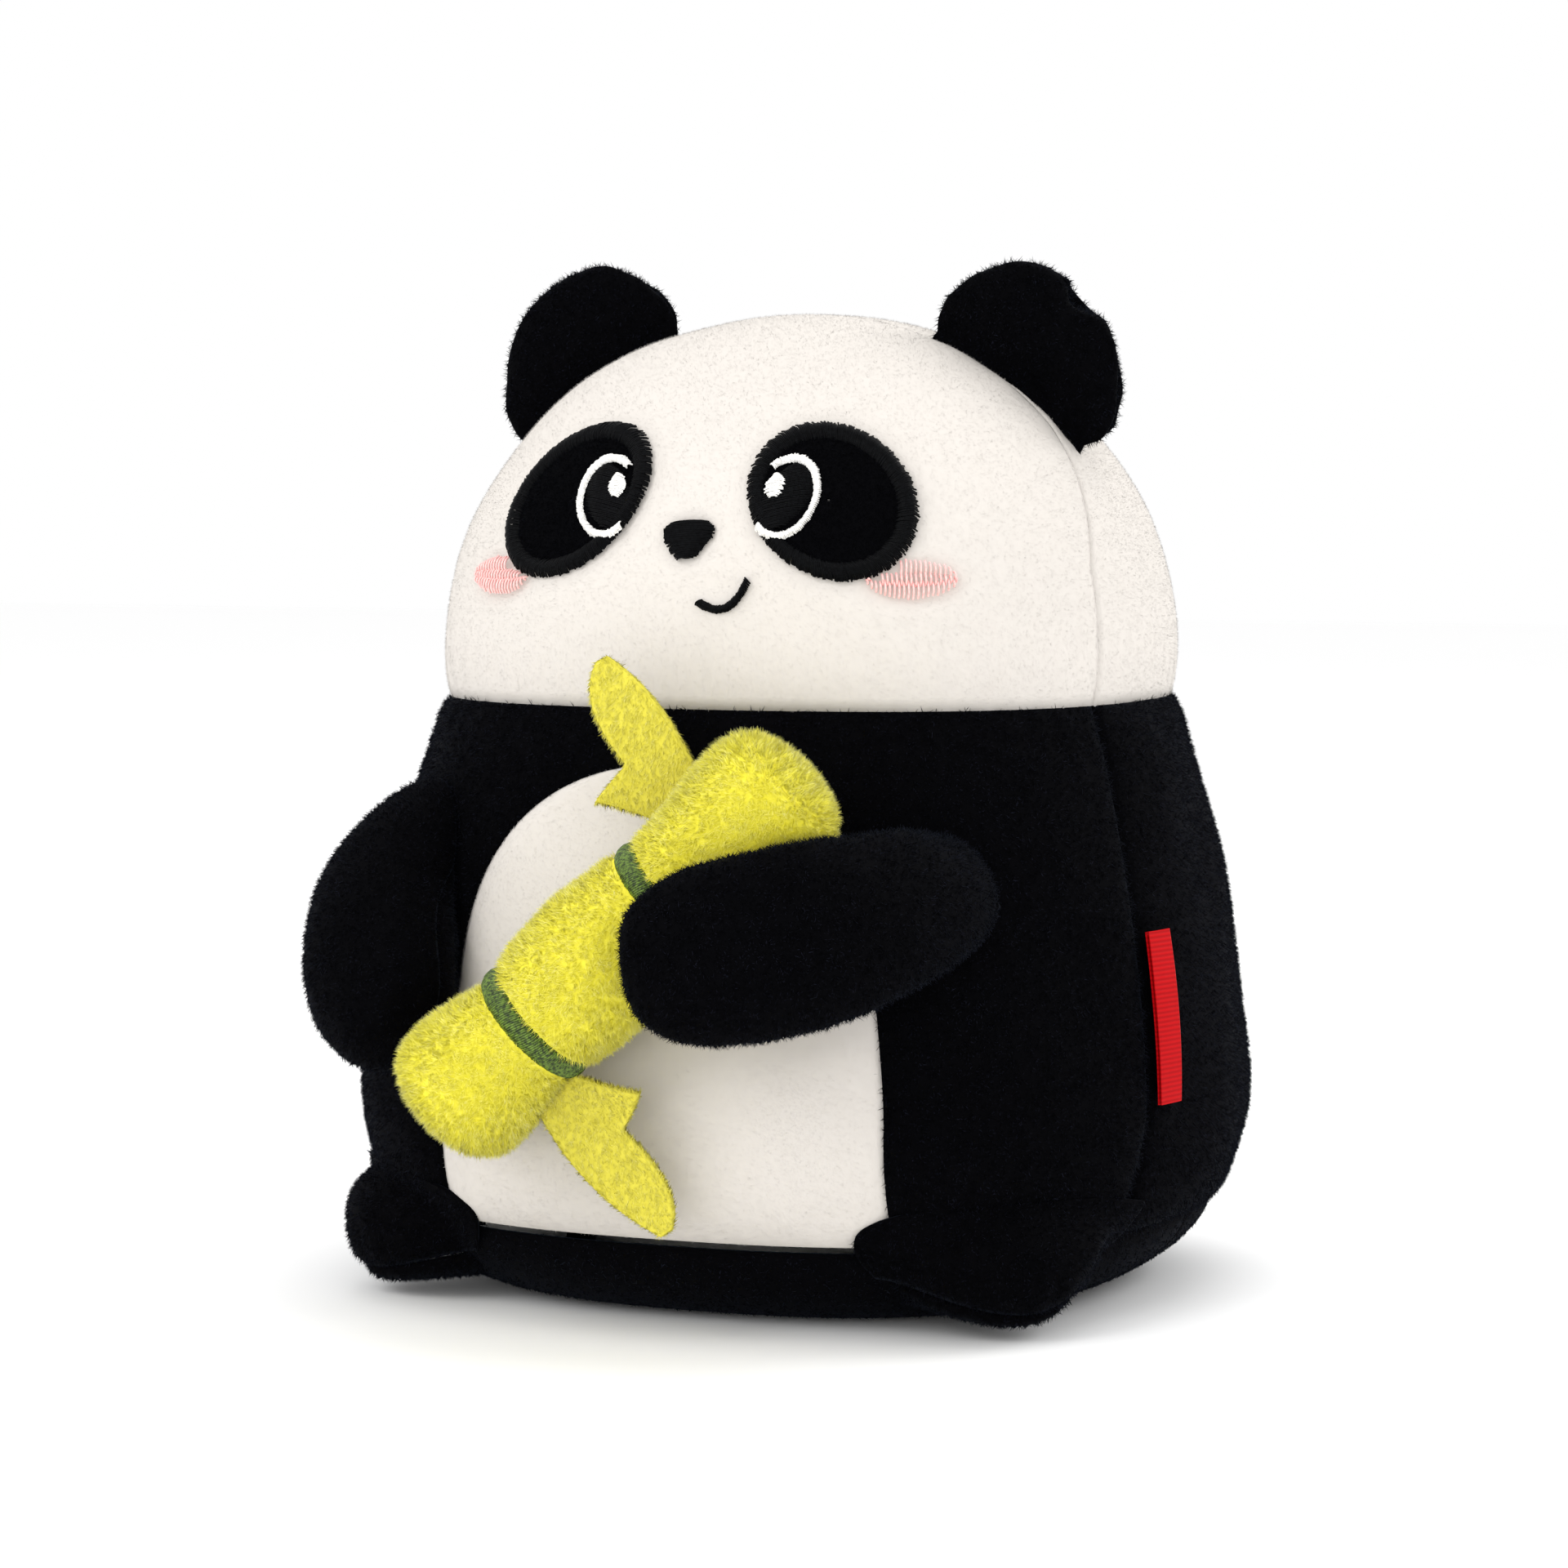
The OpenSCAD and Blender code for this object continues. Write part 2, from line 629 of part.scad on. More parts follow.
// A leaf cut from plush cloth, seen flat. It grows along +Y from a short stalk, with a
// curved blade and a second, shorter point beside its root.
leaf_long = 33;
module leaf_shape() {
    steps = 10;
    polygon([
        for (k = [0:steps]) let (g = k / steps) bezier([[6, -2], [8, 16], [-1, leaf_long]], g),
        for (k = [1:steps]) let (g = k / steps) bezier([[-1, leaf_long], [-8, 28], [-5, 11]], g),
        for (k = [1:steps]) let (g = k / steps) bezier([[-5, 11], [-9, 10], [-14, 7]], g),
        for (k = [1:steps]) let (g = k / steps) bezier([[-14, 7], [-8, 2], [-4, -4]], g),
    ]);
}

// Places a leaf with its root at one point and its tip at another, facing a direction.
module leaf(root, tip, facing) {
    way = unit(tip - root);
    side = unit(cross(way, facing));
    out = cross(side, way);
    color(yellow)
        multmatrix([
            [side[0], way[0], out[0], root[0]],
            [side[1], way[1], out[1], root[1]],
            [side[2], way[2], out[2], root[2]],
            [0, 0, 0, 1],
        ])
        linear_extrude(leaf_t, center = true)
        leaf_shape();
}

// A leaf stops at the side of the stalk that it is sewn to.
module trimmed_leaf(root, tip, facing) difference() {
    leaf(root, tip, facing);
    on_bamboo() {
        bamboo_core(-clear, 0, 1);
        for (f = ring_at)
            translate([0, 0, f * bamboo_len])
                cylinder(h = ring_w + 2, r = bamboo_waist + ring_t + 1, center = true, $fn = 48);
    }
}

module leaf_upper() trimmed_leaf([8.5, -94, 111], [-7.5, -93, 140], [0.1, -1, 0]);
module leaf_lower() trimmed_leaf([-9, -110, 51], [10, -106, 24], [0.2, -1, -0.1]);

// ---- label ----------------------------------------------------------------------------

label_z = [46.5, 82.5];
label_w = 8;
label_t = 0.5;        // thickness of one layer of the ribbon
label_fold = 0.35;    // radius of the ribbon's fold
label_off = 1.6;      // distance of the label's middle from the cloth

// A ribbon folded into a flat loop and caught in the side seam. It lies along the back
// panel, with its cut ends at the seam and its fold away from it.
module side_label() {
    straight = label_w - label_fold;
    turn = 8;
    path = function (k, off)
        let (r = label_fold + off)
        k == 0 ? [0, r]
        : k > turn + 1 ? [0, -r]
        : let (a = 90 - 180 * (k - 1) / turn) [straight + r * cos(a), r * sin(a)];
    place = function (u, v, off)
        let (
            p = path(round(u * (turn + 2)), off),
            z = lerp(label_z[0], label_z[1], v),
            a = lookup(z, side_a) + p[0] / belly_w * 180 / PI
        )
        torso(a, s_of(z), label_off + p[1], 1, 3);
    color([0.8, 0.05, 0.06])
        wall(place, turn + 2, 6, label_t / 2, -label_t / 2);
}

head_front_panel();
head_back_panel();
body_front_panel();
belly_panel();
body_back_left_panel();
body_back_right_panel();
base_panel();
fibre_filling();
pellet_pouch();
back_closing_stitches();
eye_patch_left();
eye_patch_right();
eye_border_left();
eye_border_right();
pupil_left();
pupil_right();
eye_arc_left();
eye_arc_right();
eye_highlight_left();
eye_highlight_right();
nose();
mouth();
cheek_left();
cheek_right();
ear_left_front();
ear_left_back();
ear_left_filling();
ear_right_front();
ear_right_back();
ear_right_filling();
arm_left_outer();
arm_left_inner();
arm_left_filling();
arm_right_outer();
arm_right_inner();
arm_right_filling();
foot_left_top();
foot_left_sole();
foot_left_filling();
foot_right_top();
foot_right_sole();
foot_right_filling();
bamboo_sleeve();
bamboo_top_disc();
bamboo_bottom_disc();
bamboo_filling();
bamboo_ring_upper();
bamboo_ring_lower();
leaf_upper();
leaf_lower();
side_label();
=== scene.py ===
# %% [markdown]
# A plush panda sits on a weighted base and hugs a stalk of bamboo. The CAD model holds its
# size, its parts and its joints. This file gives each part its cloth, pile and stitching.
# It starts by loading that model.

# %% Load the model
from math import cos, pi, radians, sin, sqrt
import bmesh
import bpy
import numpy as np
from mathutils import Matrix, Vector, noise


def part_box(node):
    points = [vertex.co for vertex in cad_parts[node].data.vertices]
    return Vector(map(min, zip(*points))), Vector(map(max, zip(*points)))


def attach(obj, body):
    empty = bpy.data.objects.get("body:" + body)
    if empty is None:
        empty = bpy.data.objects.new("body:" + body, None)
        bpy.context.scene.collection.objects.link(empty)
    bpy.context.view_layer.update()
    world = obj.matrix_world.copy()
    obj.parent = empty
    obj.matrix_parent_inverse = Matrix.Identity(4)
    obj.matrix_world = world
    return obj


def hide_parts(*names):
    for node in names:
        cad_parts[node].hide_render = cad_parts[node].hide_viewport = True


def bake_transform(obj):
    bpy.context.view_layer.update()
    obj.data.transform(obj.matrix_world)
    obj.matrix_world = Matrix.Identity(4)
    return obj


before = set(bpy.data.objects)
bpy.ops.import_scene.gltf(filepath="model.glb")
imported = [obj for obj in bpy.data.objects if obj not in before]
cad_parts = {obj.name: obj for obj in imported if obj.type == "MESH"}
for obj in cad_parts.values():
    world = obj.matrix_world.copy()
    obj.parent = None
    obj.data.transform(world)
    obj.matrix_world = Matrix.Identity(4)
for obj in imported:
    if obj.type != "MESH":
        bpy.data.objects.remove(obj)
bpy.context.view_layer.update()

MM = 0.001
scene = bpy.context.scene

# %% [markdown]
# The camera stands a little to the toy's left, at about the height of its eyes, and looks
# slightly down. A long lens from a metre away keeps the face from bulging.

# %% Camera
VIEW_TURN = radians(22.4)
VIEW_DISTANCE = 1033 * MM
EYE_LEVEL = 183 * MM
LOOK_AT = (-6.6 * MM, 109.5 * MM)    # to the right of the middle of the toy, and its height
camera = bpy.data.objects.new("camera", bpy.data.cameras.new("camera"))
scene.collection.objects.link(camera)
scene.camera = camera
camera.data.sensor_width = 36
camera.data.lens = 105.4
camera.data.clip_start = 0.02
camera.location = (VIEW_DISTANCE * sin(VIEW_TURN), -VIEW_DISTANCE * cos(VIEW_TURN), EYE_LEVEL)
aim = Vector((LOOK_AT[0] * cos(VIEW_TURN), LOOK_AT[0] * sin(VIEW_TURN), LOOK_AT[1]))
camera.rotation_euler = (aim - camera.location).to_track_quat("-Z", "Y").to_euler()
scene.view_settings.view_transform = "Standard"

# %% [markdown]
# Black plush needs broad, soft light: a large panel over the camera's left shoulder, weaker
# ones on the right and low in front, which reach under the chin, one behind that draws the
# edge of the black cloth, and a pale surround.

# %% Lights and floor
def panel(name, place, size, power, target=(0, 0, 0.1)):
    """Adds a square panel of light that faces the toy."""
    light = bpy.data.objects.new(name, bpy.data.lights.new(name, "AREA"))
    light.data.size = size
    light.data.energy = power
    light.location = place
    light.rotation_euler = (Vector(target) - Vector(place)).to_track_quat("-Z", "Y").to_euler()
    scene.collection.objects.link(light)


panel("key light", (-0.6, -1.1, 1.0), 0.9, 7.2)
panel("fill light", (1.3, -0.9, 0.6), 1.0, 3)
panel("low light", (0.3, -1.4, 0.15), 0.9, 4.5)
panel("top light", (0.1, 0.3, 1.4), 1.2, 5)
panel("rim light", (0.9, 0.9, 0.8), 0.7, 6)
world = bpy.data.worlds.new("studio")
scene.world = world
world.use_nodes = True
world.node_tree.nodes["Background"].inputs["Color"].default_value = (1, 1, 1, 1)
world.node_tree.nodes["Background"].inputs["Strength"].default_value = 1.0

floor_bm = bmesh.new()
bmesh.ops.create_grid(floor_bm, x_segments=1, y_segments=1, size=4)
floor_mesh = bpy.data.meshes.new("floor")
floor_bm.to_mesh(floor_mesh)
floor = bpy.data.objects.new("floor", floor_mesh)
scene.collection.objects.link(floor)


# %% [markdown]
# Every finish here is cloth or thread, and each is named for what it is. `linear` turns a
# colour as it is written on a screen into the numbers that the renderer works with, and
# `add` puts one node into a material with its settings and links. `coloured` and `raised`
# are the two ends that most of the materials share: a ramp of colours, and a relief.

# %% Helpers for materials
def linear(colour):
    """Turns an sRGB hex colour such as "f4efe9" into linear RGBA."""
    parts = [int(colour[i:i + 2], 16) / 255 for i in (0, 2, 4)]
    return [c / 12.92 if c <= 0.04045 else ((c + 0.055) / 1.055) ** 2.4 for c in parts] + [1]


def add(material, kind, settings=None, **inputs):
    """Adds a node. An input given as a (node, output) pair is linked, and else it is set.

    A socket that has no name of its own is given by its number, such as i0."""
    node = material.node_tree.nodes.new(kind)
    for key, value in (settings or {}).items():
        setattr(node, key, value)
    for key, value in inputs.items():
        numbered = key[0] == "i" and key[1:].isdigit()
        socket = node.inputs[int(key[1:]) if numbered else key.replace("_", " ")]
        if isinstance(value, tuple) and len(value) == 2 and hasattr(value[0], "outputs"):
            material.node_tree.links.new(value[0].outputs[value[1]], socket)
        else:
            socket.default_value = value
    return node


def new_material(name, slot_name, roughness, sheen, sheen_roughness=0.4, sheen_tint="ffffff", gloss=0.5):
    """Starts a cloth material and returns it with its shader."""
    material = bpy.data.materials.new(name)
    material.use_nodes = True
    material["slot"] = slot_name
    shader = material.node_tree.nodes["Principled BSDF"]
    shader.inputs["Roughness"].default_value = roughness
    shader.inputs["Sheen Weight"].default_value = sheen
    shader.inputs["Sheen Roughness"].default_value = sheen_roughness
    shader.inputs["Sheen Tint"].default_value = linear(sheen_tint)
    shader.inputs["Specular IOR Level"].default_value = gloss
    return material, shader


def texture(material, kind, size_mm, settings=None, **inputs):
    """Adds a procedural texture whose marks are about size_mm across."""
    place = add(material, "ShaderNodeTexCoord")
    return add(material, kind, settings, Vector=(place, "Object"), Scale=1 / (size_mm * MM), **inputs)


def coloured(material, shader, factor, stops):
    """Colours a shader by a factor, through stops given as (place, sRGB hex colour)."""
    ramp = add(material, "ShaderNodeValToRGB", None, Fac=factor)
    for element, (place, colour) in zip(ramp.color_ramp.elements, (stops[0], stops[-1])):
        element.position = place
        element.color = linear(colour)
    for place, colour in stops[1:-1]:
        ramp.color_ramp.elements.new(place).color = linear(colour)
    material.node_tree.links.new(ramp.outputs["Color"], shader.inputs["Base Color"])


def raised(material, shader, height, strength, depth_mm):
    """Gives a shader a relief."""
    bump = add(material, "ShaderNodeBump", None, Height=height, Strength=strength, Distance=depth_mm * MM)
    material.node_tree.links.new(bump.outputs["Normal"], shader.inputs["Normal"])


# %% [markdown]
# Minky is a knitted polyester with a cut pile under 2 mm long. Its fibres are drawn as real
# geometry below, so the material only gives their colour: darker towards the root, which is
# painted shade for where light hardly reaches, paler at the tip, which is a painted highlight,
# and slightly different from tuft to tuft. "along" is stored on each fibre, 0 at its root and
# 1 at its tip, and the cloth under the fibres takes the colour at 0.35, in the painted shade.
# The sheen is what makes black plush look soft.

# %% Minky and plush
def pile_material(name, slot_name, root, middle, tip, gloss, sheen, tint, tuft_mm, patchy=0.06):
    """A pile's finish: its colour at the root, which is painted shade, most of the way up, and at the tip,
    which is a painted highlight.
    """
    material, shader = new_material(name, slot_name, 0.85, sheen, 0.35, tint, gloss)
    along = add(material, "ShaderNodeAttribute", {"attribute_name": "along"})
    tufts = texture(material, "ShaderNodeTexNoise", tuft_mm, Detail=2.0)
    spread = add(
        material, "ShaderNodeMapRange", None,
        Value=(tufts, "Fac"), From_Min=0.3, From_Max=0.7, To_Min=-patchy, To_Max=patchy,
    )
    mixed = add(
        material, "ShaderNodeMath", {"operation": "ADD", "use_clamp": True},
        i0=(along, "Fac"), i1=(spread, "Result"),
    )
    coloured(material, shader, (mixed, "Value"), [(0, root), (0.75, middle), (1, tip)])
    return material


COOL_SHEEN = "8c9cbc"
WARM_SHEEN = "fffbc0"
# The root colours below are painted shade and the paler tip colours are painted highlights; the blue-grey
# tips of the black minky and the black velour are painted glints.
WHITE_MINKY = pile_material(
    "white minky", "white_minky", "cdc7c0", "d5d0ca", "dcd7d2", 0.08, 0.0, "ffffff", 3
)
BLACK_MINKY = pile_material(
    "black minky", "black_minky", "010102", "040406", "20222e", 0.03, 0.034, COOL_SHEEN, 3, 0.12
)
YELLOW_PLUSH = pile_material(
    "lime plush", "yellow_plush", "ece032", "f8ef5a", "fdf8a2", 0.1, 0.15, WARM_SHEEN, 5, 0.1
)
YELLOW_MINKY = pile_material(
    "lime minky", "yellow_minky", "cfc232", "e1d85c", "f4ef9e", 0.1, 0.1, WARM_SHEEN, 2
)
BLACK_VELOUR = pile_material(
    "black velour", "black_velour", "020203", "040406", "0c0c12", 0.03, 0.02, COOL_SHEEN, 2
)


# %% [markdown]
# Satin stitch is rayon embroidery thread laid side by side. Rayon is glossier than plush,
# so each thread catches the light along its back. A ribbon is woven from finer threads of
# the same kind, whose rows show as ribs.

# %% Threads, ribbon and filling
def thread_material(name, slot_name, colour, other, gloss=0.4):
    """Rayon thread mottled at random between its colour and a darker tone, which is painted shade."""
    material, shader = new_material(name, slot_name, 0.4, 0.03, 0.3, "ffffff", gloss)
    shade = texture(material, "ShaderNodeTexNoise", 0.6, Detail=1.0)
    coloured(material, shader, (shade, "Fac"), [(0.35, other), (0.65, colour)])
    return material


# Each thread's second, darker colour is painted shade, mottled at random over the thread; on the green rings
# it is the shade between the threads.
BLACK_THREAD = thread_material("black rayon thread", "black_thread", "090a0c", "030304", 0.045)
WHITE_THREAD = thread_material("white rayon thread", "white_thread", "f6f5f2", "dad8d4")
PINK_THREAD = thread_material("pink rayon thread", "pink_thread", "f9c9c4", "efb0ac")
GREEN_THREAD = thread_material("green rayon thread", "green_thread", "66812c", "203009")


def ribbon_material():
    material, shader = new_material("red woven ribbon", "red_ribbon", 0.6, 0.0, gloss=0.05)
    ribs = texture(
        material, "ShaderNodeTexWave", 0.5 / 0.16, {"bands_direction": "Z"}, Distortion=0.4
    )
    coloured(material, shader, (ribs, "Fac"), [(0, "9c040a"), (1, "b8070d")])
    raised(material, shader, (ribs, "Fac"), 0.5, 0.15)
    return material


def filling_material():
    material, shader = new_material("polyester fibre", "polyester_fibre", 0.95, 0.4)
    wisps = texture(material, "ShaderNodeTexNoise", 4, Detail=6.0)
    coloured(material, shader, (wisps, "Fac"), [(0, "d5d4d0"), (1, "fbfbf9")])
    raised(material, shader, (wisps, "Fac"), 0.6, 1)
    return material


RED_RIBBON = ribbon_material()
FILLING = filling_material()
floor_material, floor_shader = new_material("matt white paper", "", 0.9, 0.0)
floor_shader.inputs["Base Color"].default_value = linear("fdfdfd")
floor.data.materials.append(floor_material)

# %% [markdown]
# The torso is one smooth form that the head and body panels share. Its section at each
# height is a superellipse, rounder at the corners than an oval, and its side is a chain of
# curves: a flat base, a quarter turn out to the belly, a slow taper to the neck, and the
# domed head. The heights and widths where its parts meet are read from the CAD parts' own
# boxes, and every place is in millimetres.

# %% The torso's form
def edges(node):
    """The low and high corners of a CAD part, in millimetres."""
    return [[c / MM for c in corner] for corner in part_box(node)]


NECK_Z = edges("head_back_panel")[0][2]
HEAD_H = edges("head_back_panel")[1][2] - NECK_Z
NECK_W = edges("head_back_panel")[1][0]
BELLY_W = edges("body_back_left_panel")[1][0]
BASE_SEAM_Z = edges("body_back_left_panel")[0][2]
BELLY_Z = 42
BASE_W = 60
SQUARENESS = 2.5
SEAM_ANGLE = ((17, 45, 130, 160, 190, 220), (-25, -21.5, -19, -18, -8, -6))
FRONT_DEPTH = ((0, 60, 130, 220), (0.98, 0.98, 0.93, 0.92))
BACK_DEPTH = ((0, 60, 130, 220), (0.84, 0.84, 0.90, 0.92))


def profile(s):
    """Half width and height up the toy's side, from the base's middle at 0 to the crown at 4."""
    s = np.asarray(s, float)
    turn = np.radians(90 * (2 - np.clip(s, 1, 2)))
    up = np.clip(s - 2, 0, 1)
    dome = np.radians(90 * np.clip(s - 3, 0, 1))
    width = np.select(
        [s < 1, s < 2, s < 3],
        [BASE_W * s, BASE_W + (BELLY_W - BASE_W) * np.cos(turn), BELLY_W - (BELLY_W - NECK_W) * up ** 1.6],
        NECK_W * np.cos(dome),
    )
    height = np.select(
        [s < 1, s < 2, s < 3],
        [0 * s, BELLY_Z * (1 - np.sin(turn)), BELLY_Z + (NECK_Z - BELLY_Z) * up],
        NECK_Z + HEAD_H * np.sin(dome) ** 0.83,
    )
    return width, height


def s_of(z):
    """The place up the side at a height."""
    z = np.asarray(z, float)
    low = 2 - np.degrees(np.arcsin(np.clip(1 - z / BELLY_Z, -1, 1))) / 90
    mid = 2 + (z - BELLY_Z) / (NECK_Z - BELLY_Z)
    dome = 3 + np.degrees(np.arcsin(np.clip(((z - NECK_Z).clip(0) / HEAD_H), 0, 1) ** (1 / 0.83))) / 90
    return np.select([z < BELLY_Z, z < NECK_Z], [low, mid], dome)


def torso(angle, s, off=0.0):
    """Points in mm at angles in degrees round the toy, off mm outside its form."""
    width, height = profile(s)
    step = 0.004
    w0, z0 = profile(np.maximum(s - step, np.floor(np.clip(s, 0, 3))))
    w1, z1 = profile(np.minimum(s + step, 4 - 1e-5))
    slope = np.hypot(z1 - z0, w1 - w0) + 1e-9
    width = np.maximum(0.01, width + off * (z1 - z0) / slope)
    height = height - off * (w1 - w0) / slope
    a = np.radians(angle)
    depth = np.where(np.sin(a) < 0, np.interp(height, *FRONT_DEPTH), np.interp(height, *BACK_DEPTH))
    reach = (np.abs(np.cos(a)) ** SQUARENESS + np.abs(np.sin(a) / depth) ** SQUARENESS) ** (-1 / SQUARENESS)
    return np.stack([width * reach * np.cos(a), width * reach * np.sin(a), height], -1)


def face_angle(x, z):
    """The angle round the toy of the point on its front at x across and z up."""
    width = profile(s_of(z))[0]
    inside = np.clip(1 - (np.abs(x) / width) ** SQUARENESS, 0, 1) ** (1 / SQUARENESS)
    return np.degrees(np.arctan2(-np.interp(z, *FRONT_DEPTH) * width * inside, x))


def on_front(x, z, off=0.0):
    return torso(face_angle(np.asarray(x, float), z), s_of(z), off)


# %% [markdown]
# Each panel starts as a flat grid from `bmesh.ops.create_grid`, like the flat cloth it was
# cut from, and a function lays every point of it on the form. Filling pushes a panel out,
# while its seams hold its edges in, so the surface dips towards each seam. Short puckers
# run out of a seam because the stitches gather the cloth, and wide soft lumps come from the
# fibre inside.

# %% Laying a panel
SEAM_DIP = 1.7        # how far a seam pulls the cloth in, in mm
SEAM_REACH = 3.0      # how far from the seam the dip runs


def lay(name, across, up, place):
    """A grid of quads whose points are moved to place(u, v), with u and v from 0 to 1."""
    bm = bmesh.new()
    bmesh.ops.create_grid(bm, x_segments=across, y_segments=up, size=0.5)
    flat = np.array([v.co for v in bm.verts])
    points = place(flat[:, 0] + 0.5, flat[:, 1] + 0.5)
    for vert, point in zip(bm.verts, points):
        vert.co = point * MM
    bmesh.ops.remove_doubles(bm, verts=bm.verts, dist=0.02 * MM)
    bmesh.ops.dissolve_degenerate(bm, edges=bm.edges, dist=0.02 * MM)
    return bm


def lumps(points, size, depth, seed):
    """Soft unevenness: how far each point moves in or out, in mm."""
    shift = Vector((seed * 17.3, seed * 5.1, seed * 9.7))
    return np.array([noise.noise(Vector(p) / size + shift) for p in points]) * depth * 2


def seam_dip(distance, along, dip=SEAM_DIP, reach=SEAM_REACH, pucker=0.35, pitch=7.0):
    """How far a seam pulls the cloth in at a distance from it, with puckers along it."""
    gather = pucker * np.sin(2 * pi * along / pitch + 2 * np.sin(along / 19)) * np.exp(-distance / 7)
    return -dip * np.exp(-distance / reach) + gather * (1 - np.exp(-distance / 1.5))


# %% [markdown]
# Pile is a few hundred thousand fibres, far too many to add one at a time with an operator.
# So `with_pile` works them out together: it scatters roots over the cloth by area, leans
# each fibre over in a combed direction with some disorder, and makes it a thin three-sided
# spike. Each takes most of its shading from the cloth under it, as real pile does.

# %% Pile
def finished(bm, name):
    """Turns a bmesh into a mesh and frees it."""
    mesh = bpy.data.meshes.new(name)
    bm.to_mesh(mesh)
    bm.free()
    return mesh


def read(mesh):
    """A mesh's points, its triangles and its points' normals, as arrays."""
    mesh.calc_loop_triangles()
    points = np.empty(len(mesh.vertices) * 3)
    mesh.vertices.foreach_get("co", points)
    corners = np.empty(len(mesh.loop_triangles) * 3, int)
    mesh.loop_triangles.foreach_get("vertices", corners)
    normals = np.empty(len(mesh.vertices) * 3)
    mesh.vertex_normals.foreach_get("vector", normals)
    return points.reshape(-1, 3), corners.reshape(-1, 3), normals.reshape(-1, 3)


def unit(v):
    return v / np.maximum(np.linalg.norm(v, axis=-1, keepdims=True), 1e-12)


def face_out(bm):
    """Turns a bulging piece of cloth so that its faces look away from its own middle."""
    bm.normal_update()
    middle = sum((v.co for v in bm.verts), Vector()) / len(bm.verts)
    if sum((v.co - middle).dot(v.normal) for v in bm.verts) < 0:
        bmesh.ops.reverse_faces(bm, faces=bm.faces[:])


def thicken(bm, thickness):
    """Closes cloth into a shell: a copy of it is extruded and moved in along its normals."""
    made = bmesh.ops.extrude_face_region(bm, geom=bm.faces[:], use_keep_orig=True)
    bm.normal_update()
    for vert in [part for part in made["geom"] if isinstance(part, bmesh.types.BMVert)]:
        vert.co -= vert.normal * thickness * MM
    bmesh.ops.recalc_face_normals(bm, faces=bm.faces)


SPIKE = (pi / 2, pi * 7 / 6, pi * 11 / 6)     # where a fibre's three edges stand round it
ROOT_DEPTH = 0.2                              # how deep a fibre starts in its cloth, in mm


def with_pile(bm, name, per_mm2, length, width, lean=(40, 75), combed=(0, 0, -1), order=0.5, seed=1,
              keep=None, tuft=0.0, thickness=1.0, softness=0.35):
    """Cloth of a thickness with pile on its outer side.

    Lengths are in mm and lean is in degrees from upright. order is how much of the combed
    direction the fibres follow, tuft the size of the clumps that lean alike, keep a test of
    where they stand, and softness how far their shading differs from the cloth's."""
    face_out(bm)
    outer = finished(bm.copy(), name + " outer")
    points, triangles, normals = read(outer)
    if thickness:
        thicken(bm, thickness)
    cloth = finished(bm, name)
    rng = np.random.default_rng(seed)
    a, b, c = (points[triangles[:, k]] for k in range(3))
    area = np.linalg.norm(np.cross(b - a, c - a), axis=1) / 2
    count = int(area.sum() / MM ** 2 * per_mm2)
    pick = rng.choice(len(area), count, p=area / area.sum())
    r1, r2 = np.sqrt(rng.random(count))[:, None], rng.random(count)[:, None]
    weights = (1 - r1, r1 * (1 - r2), r1 * r2)
    root = sum(w * p[pick] for w, p in zip(weights, (a, b, c)))
    normal = unit(sum(w * normals[triangles[pick, k]] for k, w in enumerate(weights)))
    if keep is not None:
        wanted = keep(root / MM)
        root, normal = root[wanted], normal[wanted]
        count = len(root)
    wander = rng.normal(size=(count, 3))
    if tuft:
        cells = np.floor(root / (tuft * MM)).astype(int)
        key = (cells * [73856093, 19349663, 83492791]).sum(1) % 4096
        wander = wander * 0.5 + np.random.default_rng(seed + 7).normal(size=(4096, 3))[key] * 0.9
    comb = order * np.asarray(combed, float) + (1 - order) * wander
    comb = unit(comb - (comb * normal).sum(1, keepdims=True) * normal)
    tilt = np.radians(rng.uniform(*lean, count))[:, None]
    way = np.cos(tilt) * normal + np.sin(tilt) * comb
    long = (length * MM * rng.uniform(0.7, 1.2, count))[:, None]
    side = unit(np.cross(normal, comb))
    front = unit(np.cross(side, way))
    foot = root - normal * ROOT_DEPTH * MM
    corners = [foot + width * MM / 2 * (cos(turn) * side + sin(turn) * front) for turn in SPIKE]
    tip = root + way * long
    fibre_points = np.stack([*corners, tip], 1).reshape(-1, 3)
    first = 4 * np.arange(count)[:, None, None]
    fibre_faces = (first + np.array([[1, 0, 3], [2, 1, 3], [0, 2, 3]])).reshape(-1, 3)
    shade = np.tile([0.0, 0.0, 0.0, 1.0], count)
    shade_jitter = np.repeat(rng.normal(0, 0.12, count), 4)
    soft = unit(normal + softness * rng.normal(size=(count, 3)))
    join_fibres(cloth, fibre_points, fibre_faces, shade + shade_jitter, np.repeat(soft, 4, 0))
    bpy.data.meshes.remove(outer)
    print(f"{name}: {area.sum() / MM ** 2:.0f} mm2 of cloth, {count} fibres, {len(cloth.polygons)} faces")
    return cloth


